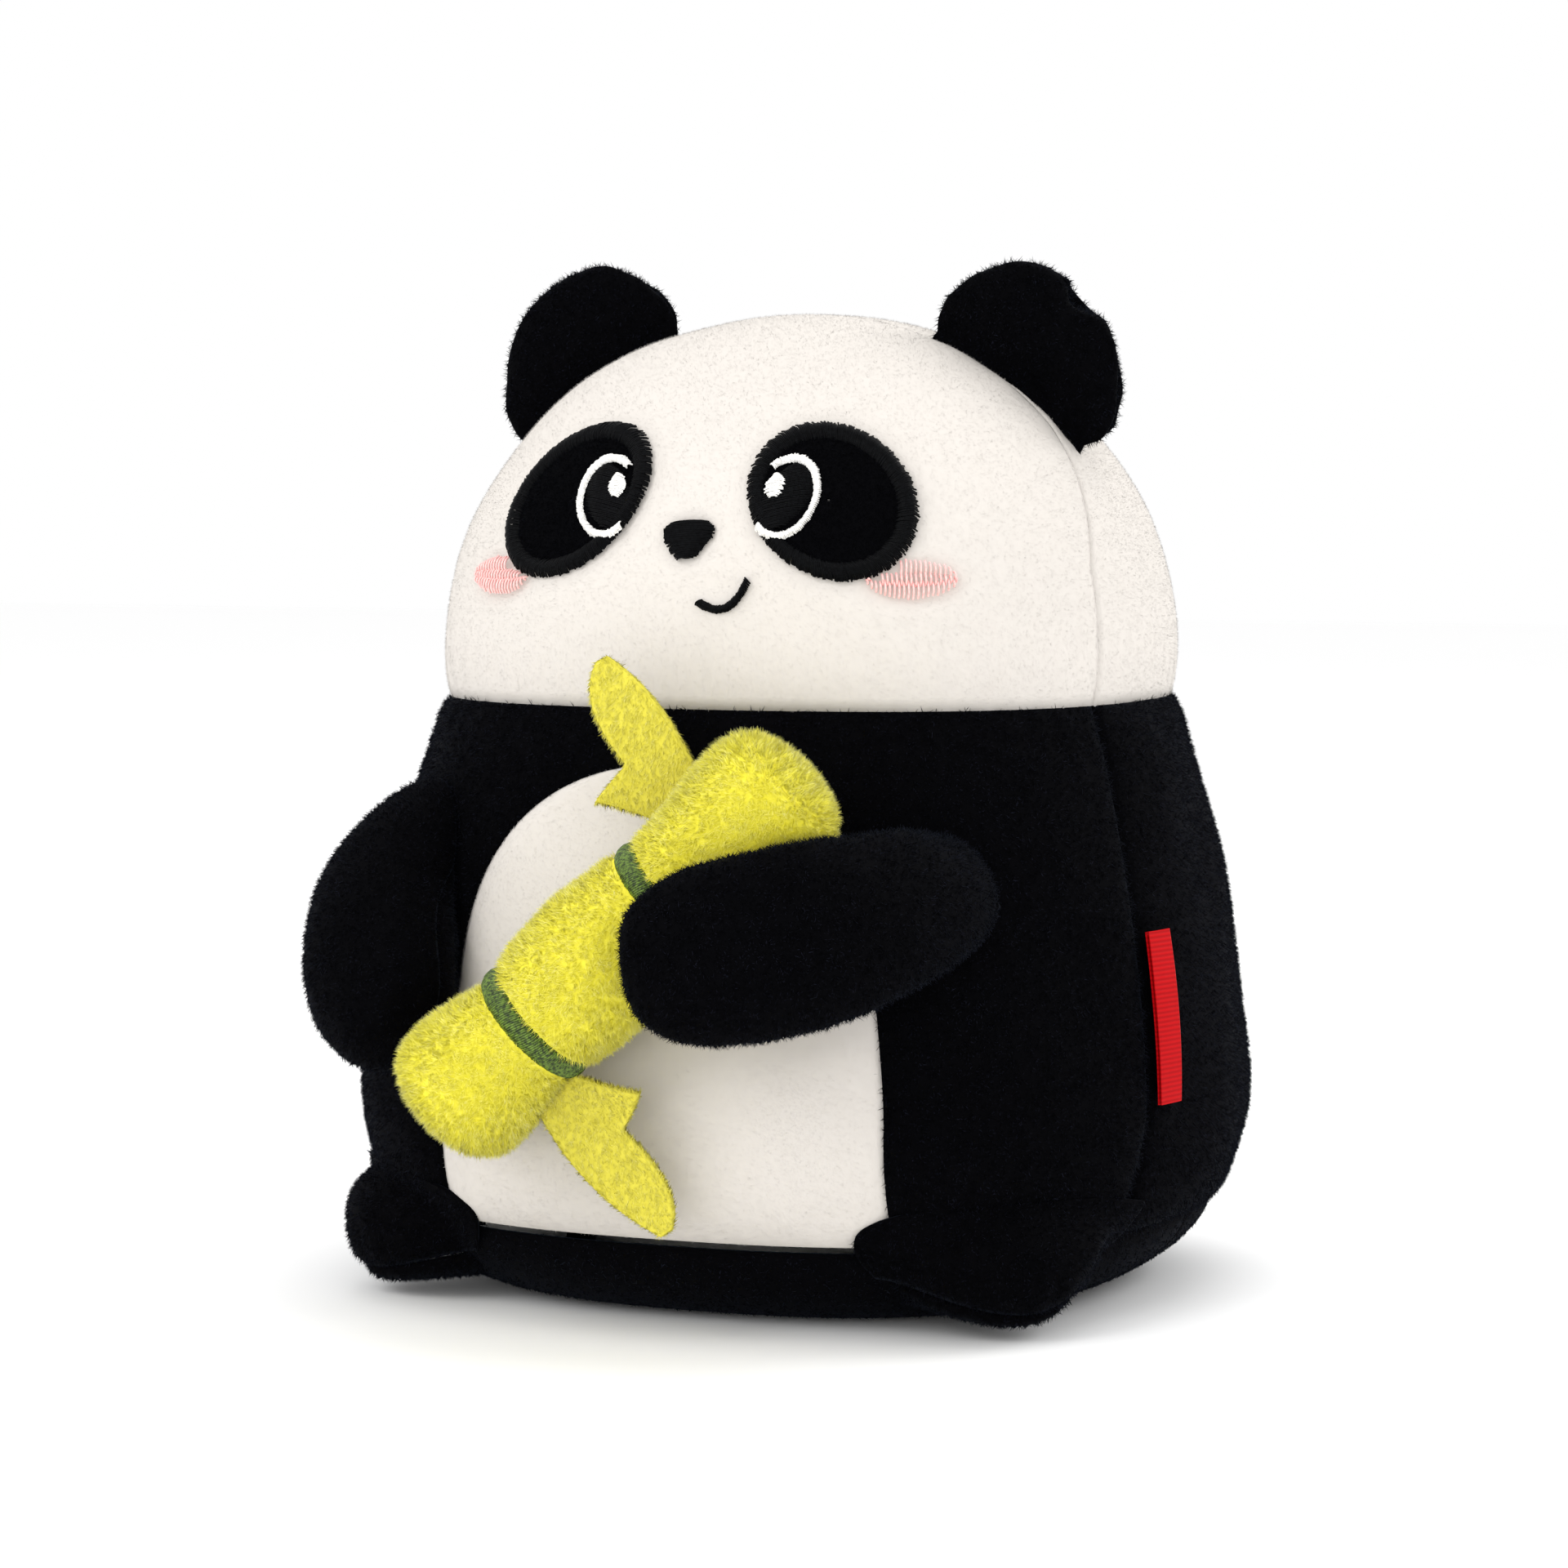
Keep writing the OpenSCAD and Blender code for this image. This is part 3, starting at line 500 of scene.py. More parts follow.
def join_fibres(cloth, points, faces, shade, normals):
    """Adds loose triangles to a mesh, with a colour place and a normal for each point."""
    old_points, _, old_normals = read(cloth)
    first_vertex, first_loop, first_face = len(cloth.vertices), len(cloth.loops), len(cloth.polygons)
    cloth.vertices.add(len(points))
    cloth.vertices.foreach_set("co", np.concatenate([old_points, points]).ravel())
    old_loops = np.empty(first_loop, int)
    cloth.loops.foreach_get("vertex_index", old_loops)
    starts = np.empty(first_face, int)
    cloth.polygons.foreach_get("loop_start", starts)
    cloth.loops.add(len(faces) * 3)
    cloth.polygons.add(len(faces))
    cloth.loops.foreach_set("vertex_index", np.concatenate([old_loops, (faces + first_vertex).ravel()]))
    fibre_starts = first_loop + 3 * np.arange(len(faces))
    cloth.polygons.foreach_set("loop_start", np.concatenate([starts, fibre_starts]))
    cloth.update(calc_edges=True)
    cloth.validate()
    along = cloth.attributes.new("along", "FLOAT", "POINT")
    along.data.foreach_set("value", np.concatenate([np.full(first_vertex, 0.35), shade]).astype(np.float32))
    cloth.polygons.foreach_set("use_smooth", np.ones(len(cloth.polygons), bool))
    cloth.normals_split_custom_set_from_vertices(np.concatenate([old_normals, normals]).tolist())


# %% [markdown]
# A finished piece is one object at the origin. It stands for the CAD part of its name and
# says which finish it has. A piece on one body rides on it, and a piece given a root, sewn to
# one body while the rest moves with another, is left where it is on no body.

# %% Pieces
def piece(mesh, name, material, body, root=None):
    """An object that stands for a CAD part, and hides that part. Without a root it rides on its
    body, and with a root it is left where it is, on no body."""
    thing = bpy.data.objects.new(name, mesh)
    scene.collection.objects.link(thing)
    mesh.materials.append(material)
    if root is None:
        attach(thing, body)
    else:
        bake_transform(thing)
    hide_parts(name)
    return thing


def wadding(name, around, rows, place):
    """A closed pad of fibre, laid like a tube whose ends are filled."""
    bm = lay(name, around, rows, place)
    bmesh.ops.holes_fill(bm, edges=[edge for edge in bm.edges if edge.is_boundary])
    return finished(bm, name)


MINKY = dict(per_mm2=2.4, length=1.6, width=0.24, order=0.35, lean=(40, 75), softness=0.25)
WHITE_PILE = dict(per_mm2=2.5, length=0.55, width=0.1, order=0.35, lean=(20, 60), softness=0.04)

# %% [markdown]
# The places of the embroidery come first, because the head's pile is trimmed away under it
# and the stitches pull the cloth in round their edge. An ellipse on the face is given as
# its side, its place across and up, its half sizes and its tilt.

# %% Places on the face
EYES = [(side, 29.4, 173.8, 19.7, 14.2, -37) for side in (1, -1)]
PUPILS = [(side, 20.2, 174.2, 5.4, 6.6, -8) for side in (1, -1)]
CHEEKS = [(side, 47.4, 157.6, 8.4, 4.0, 0) for side in (1, -1)]
NOSE = (1, 0, 165.8, 5.2, 3.8, 0)
BORDER_INNER = 0.77


def turned(x, y, tilt):
    c, s = cos(radians(tilt)), sin(radians(tilt))
    return x * c - y * s, x * s + y * c


def oval_point(shape, angle, share=1.0):
    """A point on an ellipse (side, x, z, half length, half width, tilt) at an angle in degrees."""
    side, x, z, long, short, tilt = shape
    a = np.radians(angle)
    dx, dz = turned(share * long * np.cos(a), share * short * np.sin(a), tilt)
    return side * (x + dx), z + dz


def oval_distance(shape, x, z):
    """Roughly how far outside an ellipse each place is, in mm."""
    side, cx, cz, long, short, tilt = shape
    dx, dz = turned(side * x - cx, z - cz, -tilt)
    return (np.hypot(dx / long, dz / short) - 1) * (long + short) / 2


def stitch_distance(points):
    """How far each point of the head is from the nearest stitches, in mm, below 0 under them."""
    x, z = points[:, 0], points[:, 2]
    return np.min([oval_distance(shape, x, z) for shape in (*EYES, NOSE, *CHEEKS)], 0)


def off_stitches(points):
    return stitch_distance(points) > 0.1


# %% [markdown]
# The head is two panels, and the seam between them climbs each side of the head to the
# ears. The grid's u runs round the head and its v up to the crown.

# %% Head
def head_panel(name, front, seed):
    def place(u, v):
        s = 3 + v * 0.9995
        height = profile(s)[1]
        seam = np.interp(height, *SEAM_ANGLE)
        start, end = (-180 - seam, seam) if front else (seam, 180 - seam)
        angle = start + (end - start) * u
        width = profile(s)[0]
        span = width * np.radians(end - start)
        to_side = np.minimum(u, 1 - u) * span
        to_neck = (s - 3) * 118
        off = seam_dip(to_side, height, 0.7, 2.5, 0.2) + seam_dip(to_neck, angle * 1.4, 1.5)
        form = torso(angle, s)
        off += lumps(form, 30, 0.55, seed) * np.clip(np.minimum(to_side, to_neck) / 10, 0, 1)
        if front:
            off -= 0.7 * np.exp(-(stitch_distance(form).clip(0) / 2.2) ** 2)
        return torso(angle, s, off)
    bm = lay(name, 130, 90, place)
    mesh = with_pile(bm, name, seed=seed, keep=off_stitches if front else None, **WHITE_PILE)
    return piece(mesh, name, WHITE_MINKY, "torso")


head_panel("head_front_panel", True, 1)
head_panel("head_back_panel", False, 2)

# %% [markdown]
# The belly is a white panel let into the black front. Its edge is an arch on straight
# sides with rounded lower corners, and the black panel is cut to go round it.

# %% Belly and body front
BELLY_TOP = edges("belly_panel")[1][2]
BELLY_LOW = edges("belly_panel")[0][2]
BELLY_MID = 72
BELLY_HALF = 48.5
CORNER = 7


def belly_half(z):
    arch = np.clip(1 - (np.clip(z - BELLY_MID, 0, None) / (BELLY_TOP - BELLY_MID)) ** 2.4, 0, 1) ** (1 / 2.2)
    spread = 3 * np.sin(np.radians(np.clip(90 * (BELLY_MID - z) / 28, 0, 90)))
    return np.where(z > BELLY_MID, BELLY_HALF * arch, BELLY_HALF + spread)


def belly_edge(f):
    """Height and half width of the belly's edge, from its lower corner at 0 to its top at 1."""
    f = np.asarray(f, float)
    turn = np.radians(np.clip(900 * f, 0, 90))
    g = np.clip((f - 0.1) / 0.9, 0, 1)
    z = BELLY_LOW + CORNER + (BELLY_TOP - BELLY_LOW - CORNER) * (1 - (1 - g) ** 1.8)
    low_z = BELLY_LOW + CORNER * (1 - np.cos(turn))
    low_half = belly_half(BELLY_LOW) - CORNER * (1 - np.sin(turn))
    return np.where(f < 0.1, low_z, z), np.where(f < 0.1, low_half, belly_half(z))


def belly_place(u, v):
    z, half = belly_edge(v)
    edge = face_angle(half, z)
    angle = -180 - edge + (2 * edge + 180) * u
    to_side = np.minimum(u, 1 - u) * 2 * np.maximum(half, 0.5)
    to_edge = np.minimum(to_side, np.minimum(z - BELLY_LOW, (BELLY_TOP - z) * 0.9))
    form = torso(angle, s_of(z))
    off = seam_dip(to_edge, form[:, 0] + z, 1.5, pucker=0.15)
    off += lumps(form, 26, 0.7, 5) * np.clip(to_edge / 8, 0, 1)
    return torso(angle, s_of(z), off)


belly = with_pile(lay("belly_panel", 70, 70, belly_place), "belly_panel", seed=3, **WHITE_PILE)
piece(belly, "belly_panel", WHITE_MINKY, "torso")


UNDER_BELLY = 0.12    # share of the front's inner edge that runs under the belly
SIDE_SHARE = 0.3      # share of its outer edge that runs up each side


def front_place(u, v):
    """The front goes round the belly: u follows the belly's edge, and v runs out from it."""
    u = 1 - u
    low, high = BASE_SEAM_Z, NECK_Z
    f = 1 - np.abs(2 * u - 1)
    z_in, half_in = belly_edge((f - UNDER_BELLY) / (1 - UNDER_BELLY))
    g = np.clip(f / UNDER_BELLY, 0, 1)
    z_in = np.where(f < UNDER_BELLY, low + (BELLY_LOW - low) * g, z_in)
    half_in = np.where(f < UNDER_BELLY, belly_half(BELLY_LOW) - CORNER, half_in)
    a_in = face_angle(half_in, z_in)
    a_in = np.where(u < 0.5, -180 - a_in, a_in)
    side_z = low + (high - low) * np.clip(np.minimum(u, 1 - u) / SIDE_SHARE, 0, 1)
    seam = np.interp(side_z, *SEAM_ANGLE)
    top_seam = np.interp(high, *SEAM_ANGLE)
    across = np.clip((u - SIDE_SHARE) / (1 - 2 * SIDE_SHARE), 0, 1)
    sides = [u < SIDE_SHARE, u > 1 - SIDE_SHARE]
    a_out = np.select(sides, [-180 - seam, seam], -180 - top_seam + (2 * top_seam + 180) * across)
    z_out = np.select(sides, [side_z, side_z], high)
    angle = a_in + (a_out - a_in) * v
    z = z_in + (z_out - z_in) * v
    form = torso(angle, s_of(z))
    gap = np.linalg.norm(torso(a_out, s_of(z_out)) - torso(a_in, s_of(z_in)), axis=1)
    side = np.interp(z, *SEAM_ANGLE)
    to_side = np.minimum(np.abs(angle - side), np.abs(angle + 180 + side)) * 1.55
    off = (
        seam_dip(v * gap, u * 260, 1.5, pucker=0.15)
        + seam_dip(to_side, z, 2.0, pucker=0.5)
        + seam_dip(high - z, angle * 1.4, 1.5)
        + seam_dip(z - low, angle * 1.5, 1.5)
    )
    to_seam = np.minimum(np.minimum(v * gap, to_side), np.minimum(high - z, z - low))
    off += lumps(form, 28, 0.8, 6) * np.clip(to_seam / 10, 0, 1)
    return torso(angle, s_of(z), np.maximum(off, -2.6))


front = with_pile(lay("body_front_panel", 220, 40, front_place), "body_front_panel", seed=4, **MINKY)
piece(front, "body_front_panel", BLACK_MINKY, "torso")


# %% [markdown]
# The back is two panels with a seam down the middle, where the toy was filled, and the
# base is a dish that turns up to meet them.

# %% Back and base
def back_panel(name, left, seed):
    def place(u, v):
        z = BASE_SEAM_Z + (NECK_Z - BASE_SEAM_Z) * v
        seam = np.interp(z, *SEAM_ANGLE)
        start, end = (seam, 90) if left else (90, 180 - seam)
        angle = start + (end - start) * u
        span = np.radians(end - start) * 88
        off = (
            seam_dip(u * span, z + (0 if left else 3), 2.0, pucker=0.5)
            + seam_dip((1 - u) * span, z, 2.0, pucker=0.5)
            + seam_dip(NECK_Z - z, angle * 1.4, 1.5)
            + seam_dip(z - BASE_SEAM_Z, angle * 1.5, 1.5)
        )
        to_seam = np.minimum(np.minimum(u, 1 - u) * span, np.minimum(NECK_Z - z, z - BASE_SEAM_Z))
        off += lumps(torso(angle, s_of(z)), 30, 0.9, seed) * np.clip(to_seam / 10, 0, 1)
        return torso(angle, s_of(z), np.maximum(off, -2.6))
    mesh = with_pile(lay(name, 70, 60, place), name, seed=seed, **MINKY)
    return piece(mesh, name, BLACK_MINKY, "torso")


back_panel("body_back_left_panel", True, 7)
back_panel("body_back_right_panel", False, 8)


def base_place(u, v):
    s = 0.02 + v * (s_of(BASE_SEAM_Z) - 0.02)
    off = seam_dip((1 - v) * 90, 360 * u * 1.5, 1.5)
    return torso(360 * u, s, np.minimum(off, 0.0))


base = with_pile(
    lay("base_panel", 160, 30, base_place), "base_panel", per_mm2=1.6, length=1.2, width=0.34,
    order=0.35, seed=9, lean=(60, 85), keep=lambda p: p[:, 2] > 1.2,
)
piece(base, "base_panel", BLACK_MINKY, "torso")


# %% [markdown]
# Satin stitch is rows of thread laid side by side. Each row is a path that rises out of the
# cloth, runs over it and dips back in. Blender's curve bevel turns all the paths of a piece
# into thin tubes at once, and a padded base under them hides the cloth.

# %% Helpers for embroidery
def thread_mesh(name, paths, thickness):
    """One mesh of thread tubes. Each path is a list of points in mm."""
    curve = bpy.data.curves.new(name, "CURVE")
    curve.dimensions = "3D"
    curve.bevel_depth = thickness / 2 * MM
    curve.bevel_resolution = 1
    curve.use_fill_caps = True
    for path in paths:
        spline = curve.splines.new("POLY")
        spline.points.add(len(path) - 1)
        places = np.column_stack([np.asarray(path) * MM, np.ones(len(path))])
        spline.points.foreach_set("co", places.ravel())
    holder = bpy.data.objects.new(name, curve)
    mesh = bpy.data.meshes.new_from_object(holder)
    mesh.name = name
    mesh.polygons.foreach_set("use_smooth", np.ones(len(mesh.polygons), bool))
    bpy.data.objects.remove(holder)
    return mesh


def stitching(name, paths, thickness, material, body="torso"):
    """A piece of nothing but thread."""
    return piece(thread_mesh(name, paths, thickness), name, material, body)


def joined(name, meshes):
    """One mesh from several."""
    bm = bmesh.new()
    for mesh in meshes:
        bm.from_mesh(mesh)
        bpy.data.meshes.remove(mesh)
    return finished(bm, name)


def arched(start, end, base, height, steps=5):
    """A stitch on the face from one (x, z) to another, that dips into the cloth at both ends."""
    share = np.linspace(0, 1, steps + 1)
    flat = np.outer(1 - share, start) + np.outer(share, end)
    return on_front(flat[:, 0], flat[:, 1], base + height * np.sin(pi * share) ** 0.6)


def face_pad(name, outline, low, high, rings=8, around=48):
    """A low cushion on the face. outline(angle, share) gives places from its middle, share 0, out."""
    bm = bmesh.new()
    bmesh.ops.create_grid(bm, x_segments=around, y_segments=rings, size=0.5)
    for vert in bm.verts:
        angle, share = 360 * (vert.co.x + 0.5), 0.02 + 0.98 * (vert.co.y + 0.5)
        x, z = outline(-angle, share)
        vert.co = on_front(x, z, low + (high - low) * (1 - share ** 6)) * MM
    bmesh.ops.remove_doubles(bm, verts=bm.verts, dist=0.01 * MM)
    return bm


# %% [markdown]
# Each eye is a patch of short black velour, edged with satin stitch that runs across its
# rim. On it lie a stitched pupil, a white crescent round the pupil's outer side and a white
# highlight. Tufts of the velour escape between the edging threads, so their lengths differ.

# %% Eyes
rng = np.random.default_rng(11)


def along_oval(shape, pitch):
    """Angles that are evenly spaced along an ellipse's edge."""
    fine = np.linspace(0, 360, 721)
    x, z = oval_point(shape, fine)
    run = np.concatenate([[0], np.cumsum(np.hypot(np.diff(x), np.diff(z)))])
    return np.interp(np.arange(0, run[-1], pitch), run, fine)


def filled_rows(shape, pitch, slant):
    """Rows across an ellipse, at a slant in degrees, as pairs of places on the face."""
    side, x, z, long, short, tilt = shape
    rows = []
    for k in np.arange(-1 + pitch / short / 2, 1, pitch / short):
        half = sqrt(max(0, 1 - k * k))
        wobble = rng.uniform(-0.25, 0.25, 2)
        ends = []
        for sign, extra in ((-1, wobble[0]), (1, wobble[1])):
            dx, dz = turned(sign * (half * long + extra), k * short + sign * slant * half * long, tilt)
            ends.append((side * (x + dx), z + dz))
        rows.append(ends)
    return rows


for eye, dot, word in zip(EYES, PUPILS, ("left", "right")):
    name = "eye_patch_" + word
    patch = face_pad(name, lambda a, f: oval_point(eye, eye[0] * a, f * 0.93), 0.2, 1.0)
    patch = with_pile(
        patch, name, per_mm2=9, length=0.9, width=0.2, lean=(35, 70), order=0.5, seed=21,
        thickness=0.5, keep=lambda p: oval_distance(eye, p[:, 0], p[:, 2]) < -2.6,
    )
    piece(patch, name, BLACK_VELOUR, "torso")
    rows = []
    for angle in along_oval(eye, 0.36):
        inner, outer = BORDER_INNER + rng.uniform(-0.012, 0.012), 1.0 + rng.uniform(-0.015, 0.02)
        start, end = oval_point(eye, angle - 1.5, inner), oval_point(eye, angle + 1.5, outer)
        rows.append(arched(start, end, 0.2, 1.45))
    stitching("eye_border_" + word, rows, 0.42, BLACK_THREAD)
    rows = [arched(a, b, 0.9, 1.0) for a, b in filled_rows(dot, 0.36, 0.35)]
    stitching("pupil_" + word, rows, 0.42, BLACK_THREAD)
    rows = []
    for angle in np.arange(-128, 133, 2.6):
        inner, outer = 1.1 + rng.uniform(-0.02, 0.02), 1.33 + rng.uniform(-0.03, 0.03)
        start, end = oval_point(dot, angle, inner), oval_point(dot, angle + 5, outer)
        rows.append(arched(start, end, 1.1, 0.9, 4))
    stitching("eye_arc_" + word, rows, 0.4, WHITE_THREAD)
    spark = (dot[0], 17.9, 176.2, 2.0, 2.4, 0)
    rows = [arched(a, b, 1.7, 0.8, 4) for a, b in filled_rows(spark, 0.34, 0.1)]
    stitching("eye_highlight_" + word, rows, 0.4, WHITE_THREAD)


# %% [markdown]
# The nose is a rounded heart, the mouth a lopsided smile and each cheek an open row of pale
# stitches that lets the white cloth show through.

# %% Nose, mouth and cheeks
def nose_point(angle, share=1.0):
    a = np.radians(angle)
    top = np.where(np.sin(a) > 0, 0.1 * np.cos(a - pi / 2) ** 4, 0)
    r = share * (0.97 - top + 0.13 * np.cos(3 * (a + pi / 2)))
    return 5.6 * r * np.cos(a), 165.8 + 4.1 * r * np.sin(a)


rows = []
edge_x, edge_z = nose_point(np.linspace(0, 360, 361))
for z in np.arange(edge_z.min() + 0.15, edge_z.max(), 0.3):
    inside = edge_x[np.abs(edge_z - z) < 0.25]
    wobble = rng.uniform(-0.3, 0.3, 2)
    rows.append(arched((inside.min() + wobble[0], z), (inside.max() + wobble[1], z + 0.5), 0.2, 1.2, 6))
pad = finished(face_pad("nose pad", lambda a, f: nose_point(a, f * 0.92), 0.0, 1.0), "nose pad")
nose = joined("nose", [thread_mesh("nose threads", rows, 0.4), pad])
piece(nose, "nose", BLACK_THREAD, "torso")

SMILE = np.array([[4.0, 152.6], [11.2, 148.2], [14.5, 157.2]])
rows = []
for t in np.linspace(0, 1, 44):
    middle = (1 - t) ** 2 * SMILE[0] + 2 * t * (1 - t) * SMILE[1] + t * t * SMILE[2]
    way = (1 - t) * (SMILE[1] - SMILE[0]) + t * (SMILE[2] - SMILE[1])
    way = way / np.linalg.norm(way)
    across = np.array([-way[1], way[0]]) * (0.75 + rng.uniform(-0.12, 0.12)) + way * 0.35
    rows.append(arched(middle - across, middle + across, 0.3, 1.0, 4))
stitching("mouth", rows, 0.42, BLACK_THREAD)

CHEEK_STITCHES = ((1, 0.15, 0), (0.35, -0.35, 0.25), (-0.1, -1, 0))    # top, low end and shift
for cheek, eye, word in zip(CHEEKS, EYES, ("left", "right")):
    rows = []
    for k in np.arange(-0.98, 0.99, 0.105):
        half = sqrt(1 - k * k) * cheek[4]
        x = cheek[1] + k * cheek[3]
        for top, low, shift in CHEEK_STITCHES:
            a = (cheek[0] * (x + shift), cheek[2] + top * half + rng.uniform(-0.2, 0.2))
            b = (cheek[0] * (x + shift + 0.35), cheek[2] + low * half + rng.uniform(-0.2, 0.2))
            if min(oval_distance(eye, a[0], a[1]), oval_distance(eye, b[0], b[1])) > 0.2:
                rows.append(arched(a, b, 0.1, 0.75, 4))
    stitching("cheek_" + word, rows, 0.5, PINK_THREAD)


# %% [markdown]
# An ear is a front and a back panel sewn together round the rim, lightly filled, and caught
# in the head's side seam.

# %% Ears
EAR_LEAN = radians(35)
EAR_MID = 47.6
EAR_Y = -4.5
EAR_W = 24.5
EAR_H = 26.5
EAR_LIFT = 1.3


def crown(x):
    """Height of the top of the head at a distance from its middle."""
    turn = np.arccos(np.clip(x / NECK_W, 0, 1))
    return NECK_Z + HEAD_H * np.sin(turn) ** 0.83


def ear_place(side, angle, v, off, dish=0.0):
    a = np.radians(angle)
    rise = np.sin(np.radians(np.clip(250 * np.clip(v, 0, 1), 0, 90)))
    up_v = np.clip(v, 0, 1)
    wide = EAR_W * np.sqrt(np.clip(1 - up_v ** 2.6, 0, 1)) * (0.88 + 0.12 * rise)
    full = 1.3 + 5.7 * np.sin(np.radians(np.clip(150 * up_v, 0, 90)))
    full = full * np.sqrt(np.clip(1 - up_v ** 4, 0, 1))
    along = (wide + off) * np.cos(a)
    x = EAR_MID + along * cos(EAR_LEAN)
    up = EAR_LIFT + (EAR_H - EAR_LIFT + off) * v
    deep = (full + off) * np.sin(a) * (1 - dish * np.sin(a) ** 2 * np.sin(pi * up_v) ** 0.5)
    return np.stack([side * (x + up * sin(EAR_LEAN)), EAR_Y + deep, crown(x) + up * cos(EAR_LEAN)], -1)


def ear_panel(side, word, front, seed):
    name = f"ear_{word}_" + ("front" if front else "back")

    def place(u, v):
        u = u if side > 0 else 1 - u
        angle = (180 if front else 0) + 180 * u
        climb = -0.16 + 1.16 * v
        to_rim = np.minimum(np.minimum(u, 1 - u) * 46, (1 - v) * 26)
        off = seam_dip(to_rim, v * 30 + u * 20, 1.0, 2.0, pucker=0.25)
        points = ear_place(side, angle, climb, off, 0.3 if front else 0.0)
        off = off + lumps(points, 13, 0.5, seed) * np.clip(to_rim / 4, 0, 1)
        points = ear_place(side, angle, climb, off, 0.3 if front else 0.0)
        if side > 0:    # a pinch in the rim, where the seam allowance folds over
            notch = ear_place(side, 0, np.array([0.98]), np.array([0.0]))[0]
            near = np.exp(-(np.linalg.norm(points - notch, axis=1) / 4.0) ** 2)[:, None]
            middle = ear_place(side, 90, np.array([0.5]), np.array([0.0]))[0]
            points = points + near * 6.0 * unit(middle - notch)
        return points

    mesh = with_pile(lay(name, 36, 36, place), name, seed=seed, **MINKY)
    lean = Vector((side * sin(EAR_LEAN), 0, cos(EAR_LEAN)))
    foot = Vector((side * EAR_MID, EAR_Y, crown(EAR_MID))) + lean * EAR_LIFT
    root, free = (foot - lean * 1.5) * MM, (foot + lean * 6) * MM
    piece(mesh, name, BLACK_MINKY, "ear_" + word, root)


def ear_wadding(side, word):
    """A thin pad of fibre, well inside the dished front."""
    name = f"ear_{word}_filling"

    def place(u, v):
        points = ear_place(side, 360 * side * u, 0.2 + 0.45 * v, -6.5)
        return points * [1, 0, 1] + [0, EAR_Y + 1.5, 0] + (points - [0, EAR_Y, 0]) * [0, 0.4, 0]

    piece(wadding(name, 24, 10, place), name, FILLING, "ear_" + word)


for side, word in ((1, "left"), (-1, "right")):
    ear_panel(side, word, True, 31 + side)
    ear_panel(side, word, False, 41 + side)
    ear_wadding(side, word)


# %% [markdown]
# The bamboo is a tube of long plush, filled tight, with a round disc at each end. Two bands
# of satin stitch draw it in like the rings of a cane. The tube is one spin of its outline.

# %% Bamboo
CANE_LOW = np.array([-36.5, -113.5, 48.3])
CANE_HIGH = np.array([37.6, -100.5, 118.3])
CANE_LONG = float(np.linalg.norm(CANE_HIGH - CANE_LOW))
CANE_WAY = (CANE_HIGH - CANE_LOW) / CANE_LONG
CANE_OUT = unit(np.cross(CANE_WAY, [0, 0, 1.0]))
CANE_UP = np.cross(CANE_OUT, CANE_WAY)
RINGS = (0.27, 0.645)


def cane_radius(f):
    """Radius of the stuffed stalk at a share of its length."""
    f = np.clip(f, 0, 1)
    low, high = RINGS
    g = np.select([f < low, f < high], [f / low, (f - low) / (high - low)], (f - high) / (1 - high))
    quarter = pi / 2 * g
    swell = np.select(
        [f < low, f < high],
        [np.cos(quarter).clip(0) ** 0.6, np.sin(2 * quarter).clip(0) ** 0.6],
        np.sin(quarter) ** 0.7,
    )
    return 11.4 + 3.8 * swell


def on_cane(along, radius, angle):
    """A point in mm on the stalk, at a distance along it, a radius and an angle in degrees."""
    a = np.radians(angle)
    along, radius = np.asarray(along, float), np.asarray(radius, float)
    around = np.cos(a)[..., None] * CANE_UP + np.sin(a)[..., None] * CANE_OUT
    return CANE_LOW + along[..., None] * CANE_WAY + radius[..., None] * around


def sleeve_place(u, v):
    along = 1.0 + (CANE_LONG - 2.0) * v
    radius = cane_radius(along / CANE_LONG)
    ends = np.minimum(v, 1 - v) * CANE_LONG
    radius = radius - 3.2 * np.exp(-ends / 2.2)
    points = on_cane(along, radius, -360 * u)
    return on_cane(along, radius + lumps(points, 11, 0.45, 51), -360 * u)


def off_rings(points):
    along = (points - CANE_LOW) @ CANE_WAY
    return np.min([np.abs(along - f * CANE_LONG) for f in RINGS], 0) > 2.9


LONG_PLUSH = dict(per_mm2=9, length=2.1, width=0.19, softness=0.15)
sleeve = with_pile(
    lay("bamboo_sleeve", 72, 90, sleeve_place), "bamboo_sleeve", lean=(25, 62), combed=-CANE_WAY,
    order=0.35, seed=52, tuft=0.7, keep=off_rings, **LONG_PLUSH,
)
piece(sleeve, "bamboo_sleeve", YELLOW_PLUSH, "bamboo")
for name, end, way in (("bamboo_bottom_disc", 0.6, -1), ("bamboo_top_disc", CANE_LONG - 0.6, 1)):
    def disc_place(u, v, end=end, way=way):
        radius = 12.1 * v
        return on_cane(end + way * 3.0 * (1 - v ** 2), radius, 360 * u * way)
    disc = with_pile(
        lay(name, 48, 10, disc_place), name, lean=(20, 62), order=0.1, seed=53, tuft=0.9, **LONG_PLUSH
    )
    piece(disc, name, YELLOW_PLUSH, "bamboo")
for name, f in (("bamboo_ring_lower", RINGS[0]), ("bamboo_ring_upper", RINGS[1])):
    rows = []
    for angle in np.arange(0, 360, 2.0):
        share = np.linspace(0, 1, 6)
        along = f * CANE_LONG + (share - 0.5) * (5.8 + rng.uniform(-0.25, 0.25))
        radius = 11.6 + 2.4 * np.sin(pi * share) ** 0.5
        rows.append(on_cane(along, radius, angle + 7 * (share - 0.5)))
    stitching(name, rows, 0.5, GREEN_THREAD, "bamboo")


# %% [markdown]
# An arm is an outer and an inner panel sewn round a bent sausage of filling. It is pressed
# flat where it meets the body and the bamboo, and its root is sewn down. Its fibre lies just
# inside its cloth.

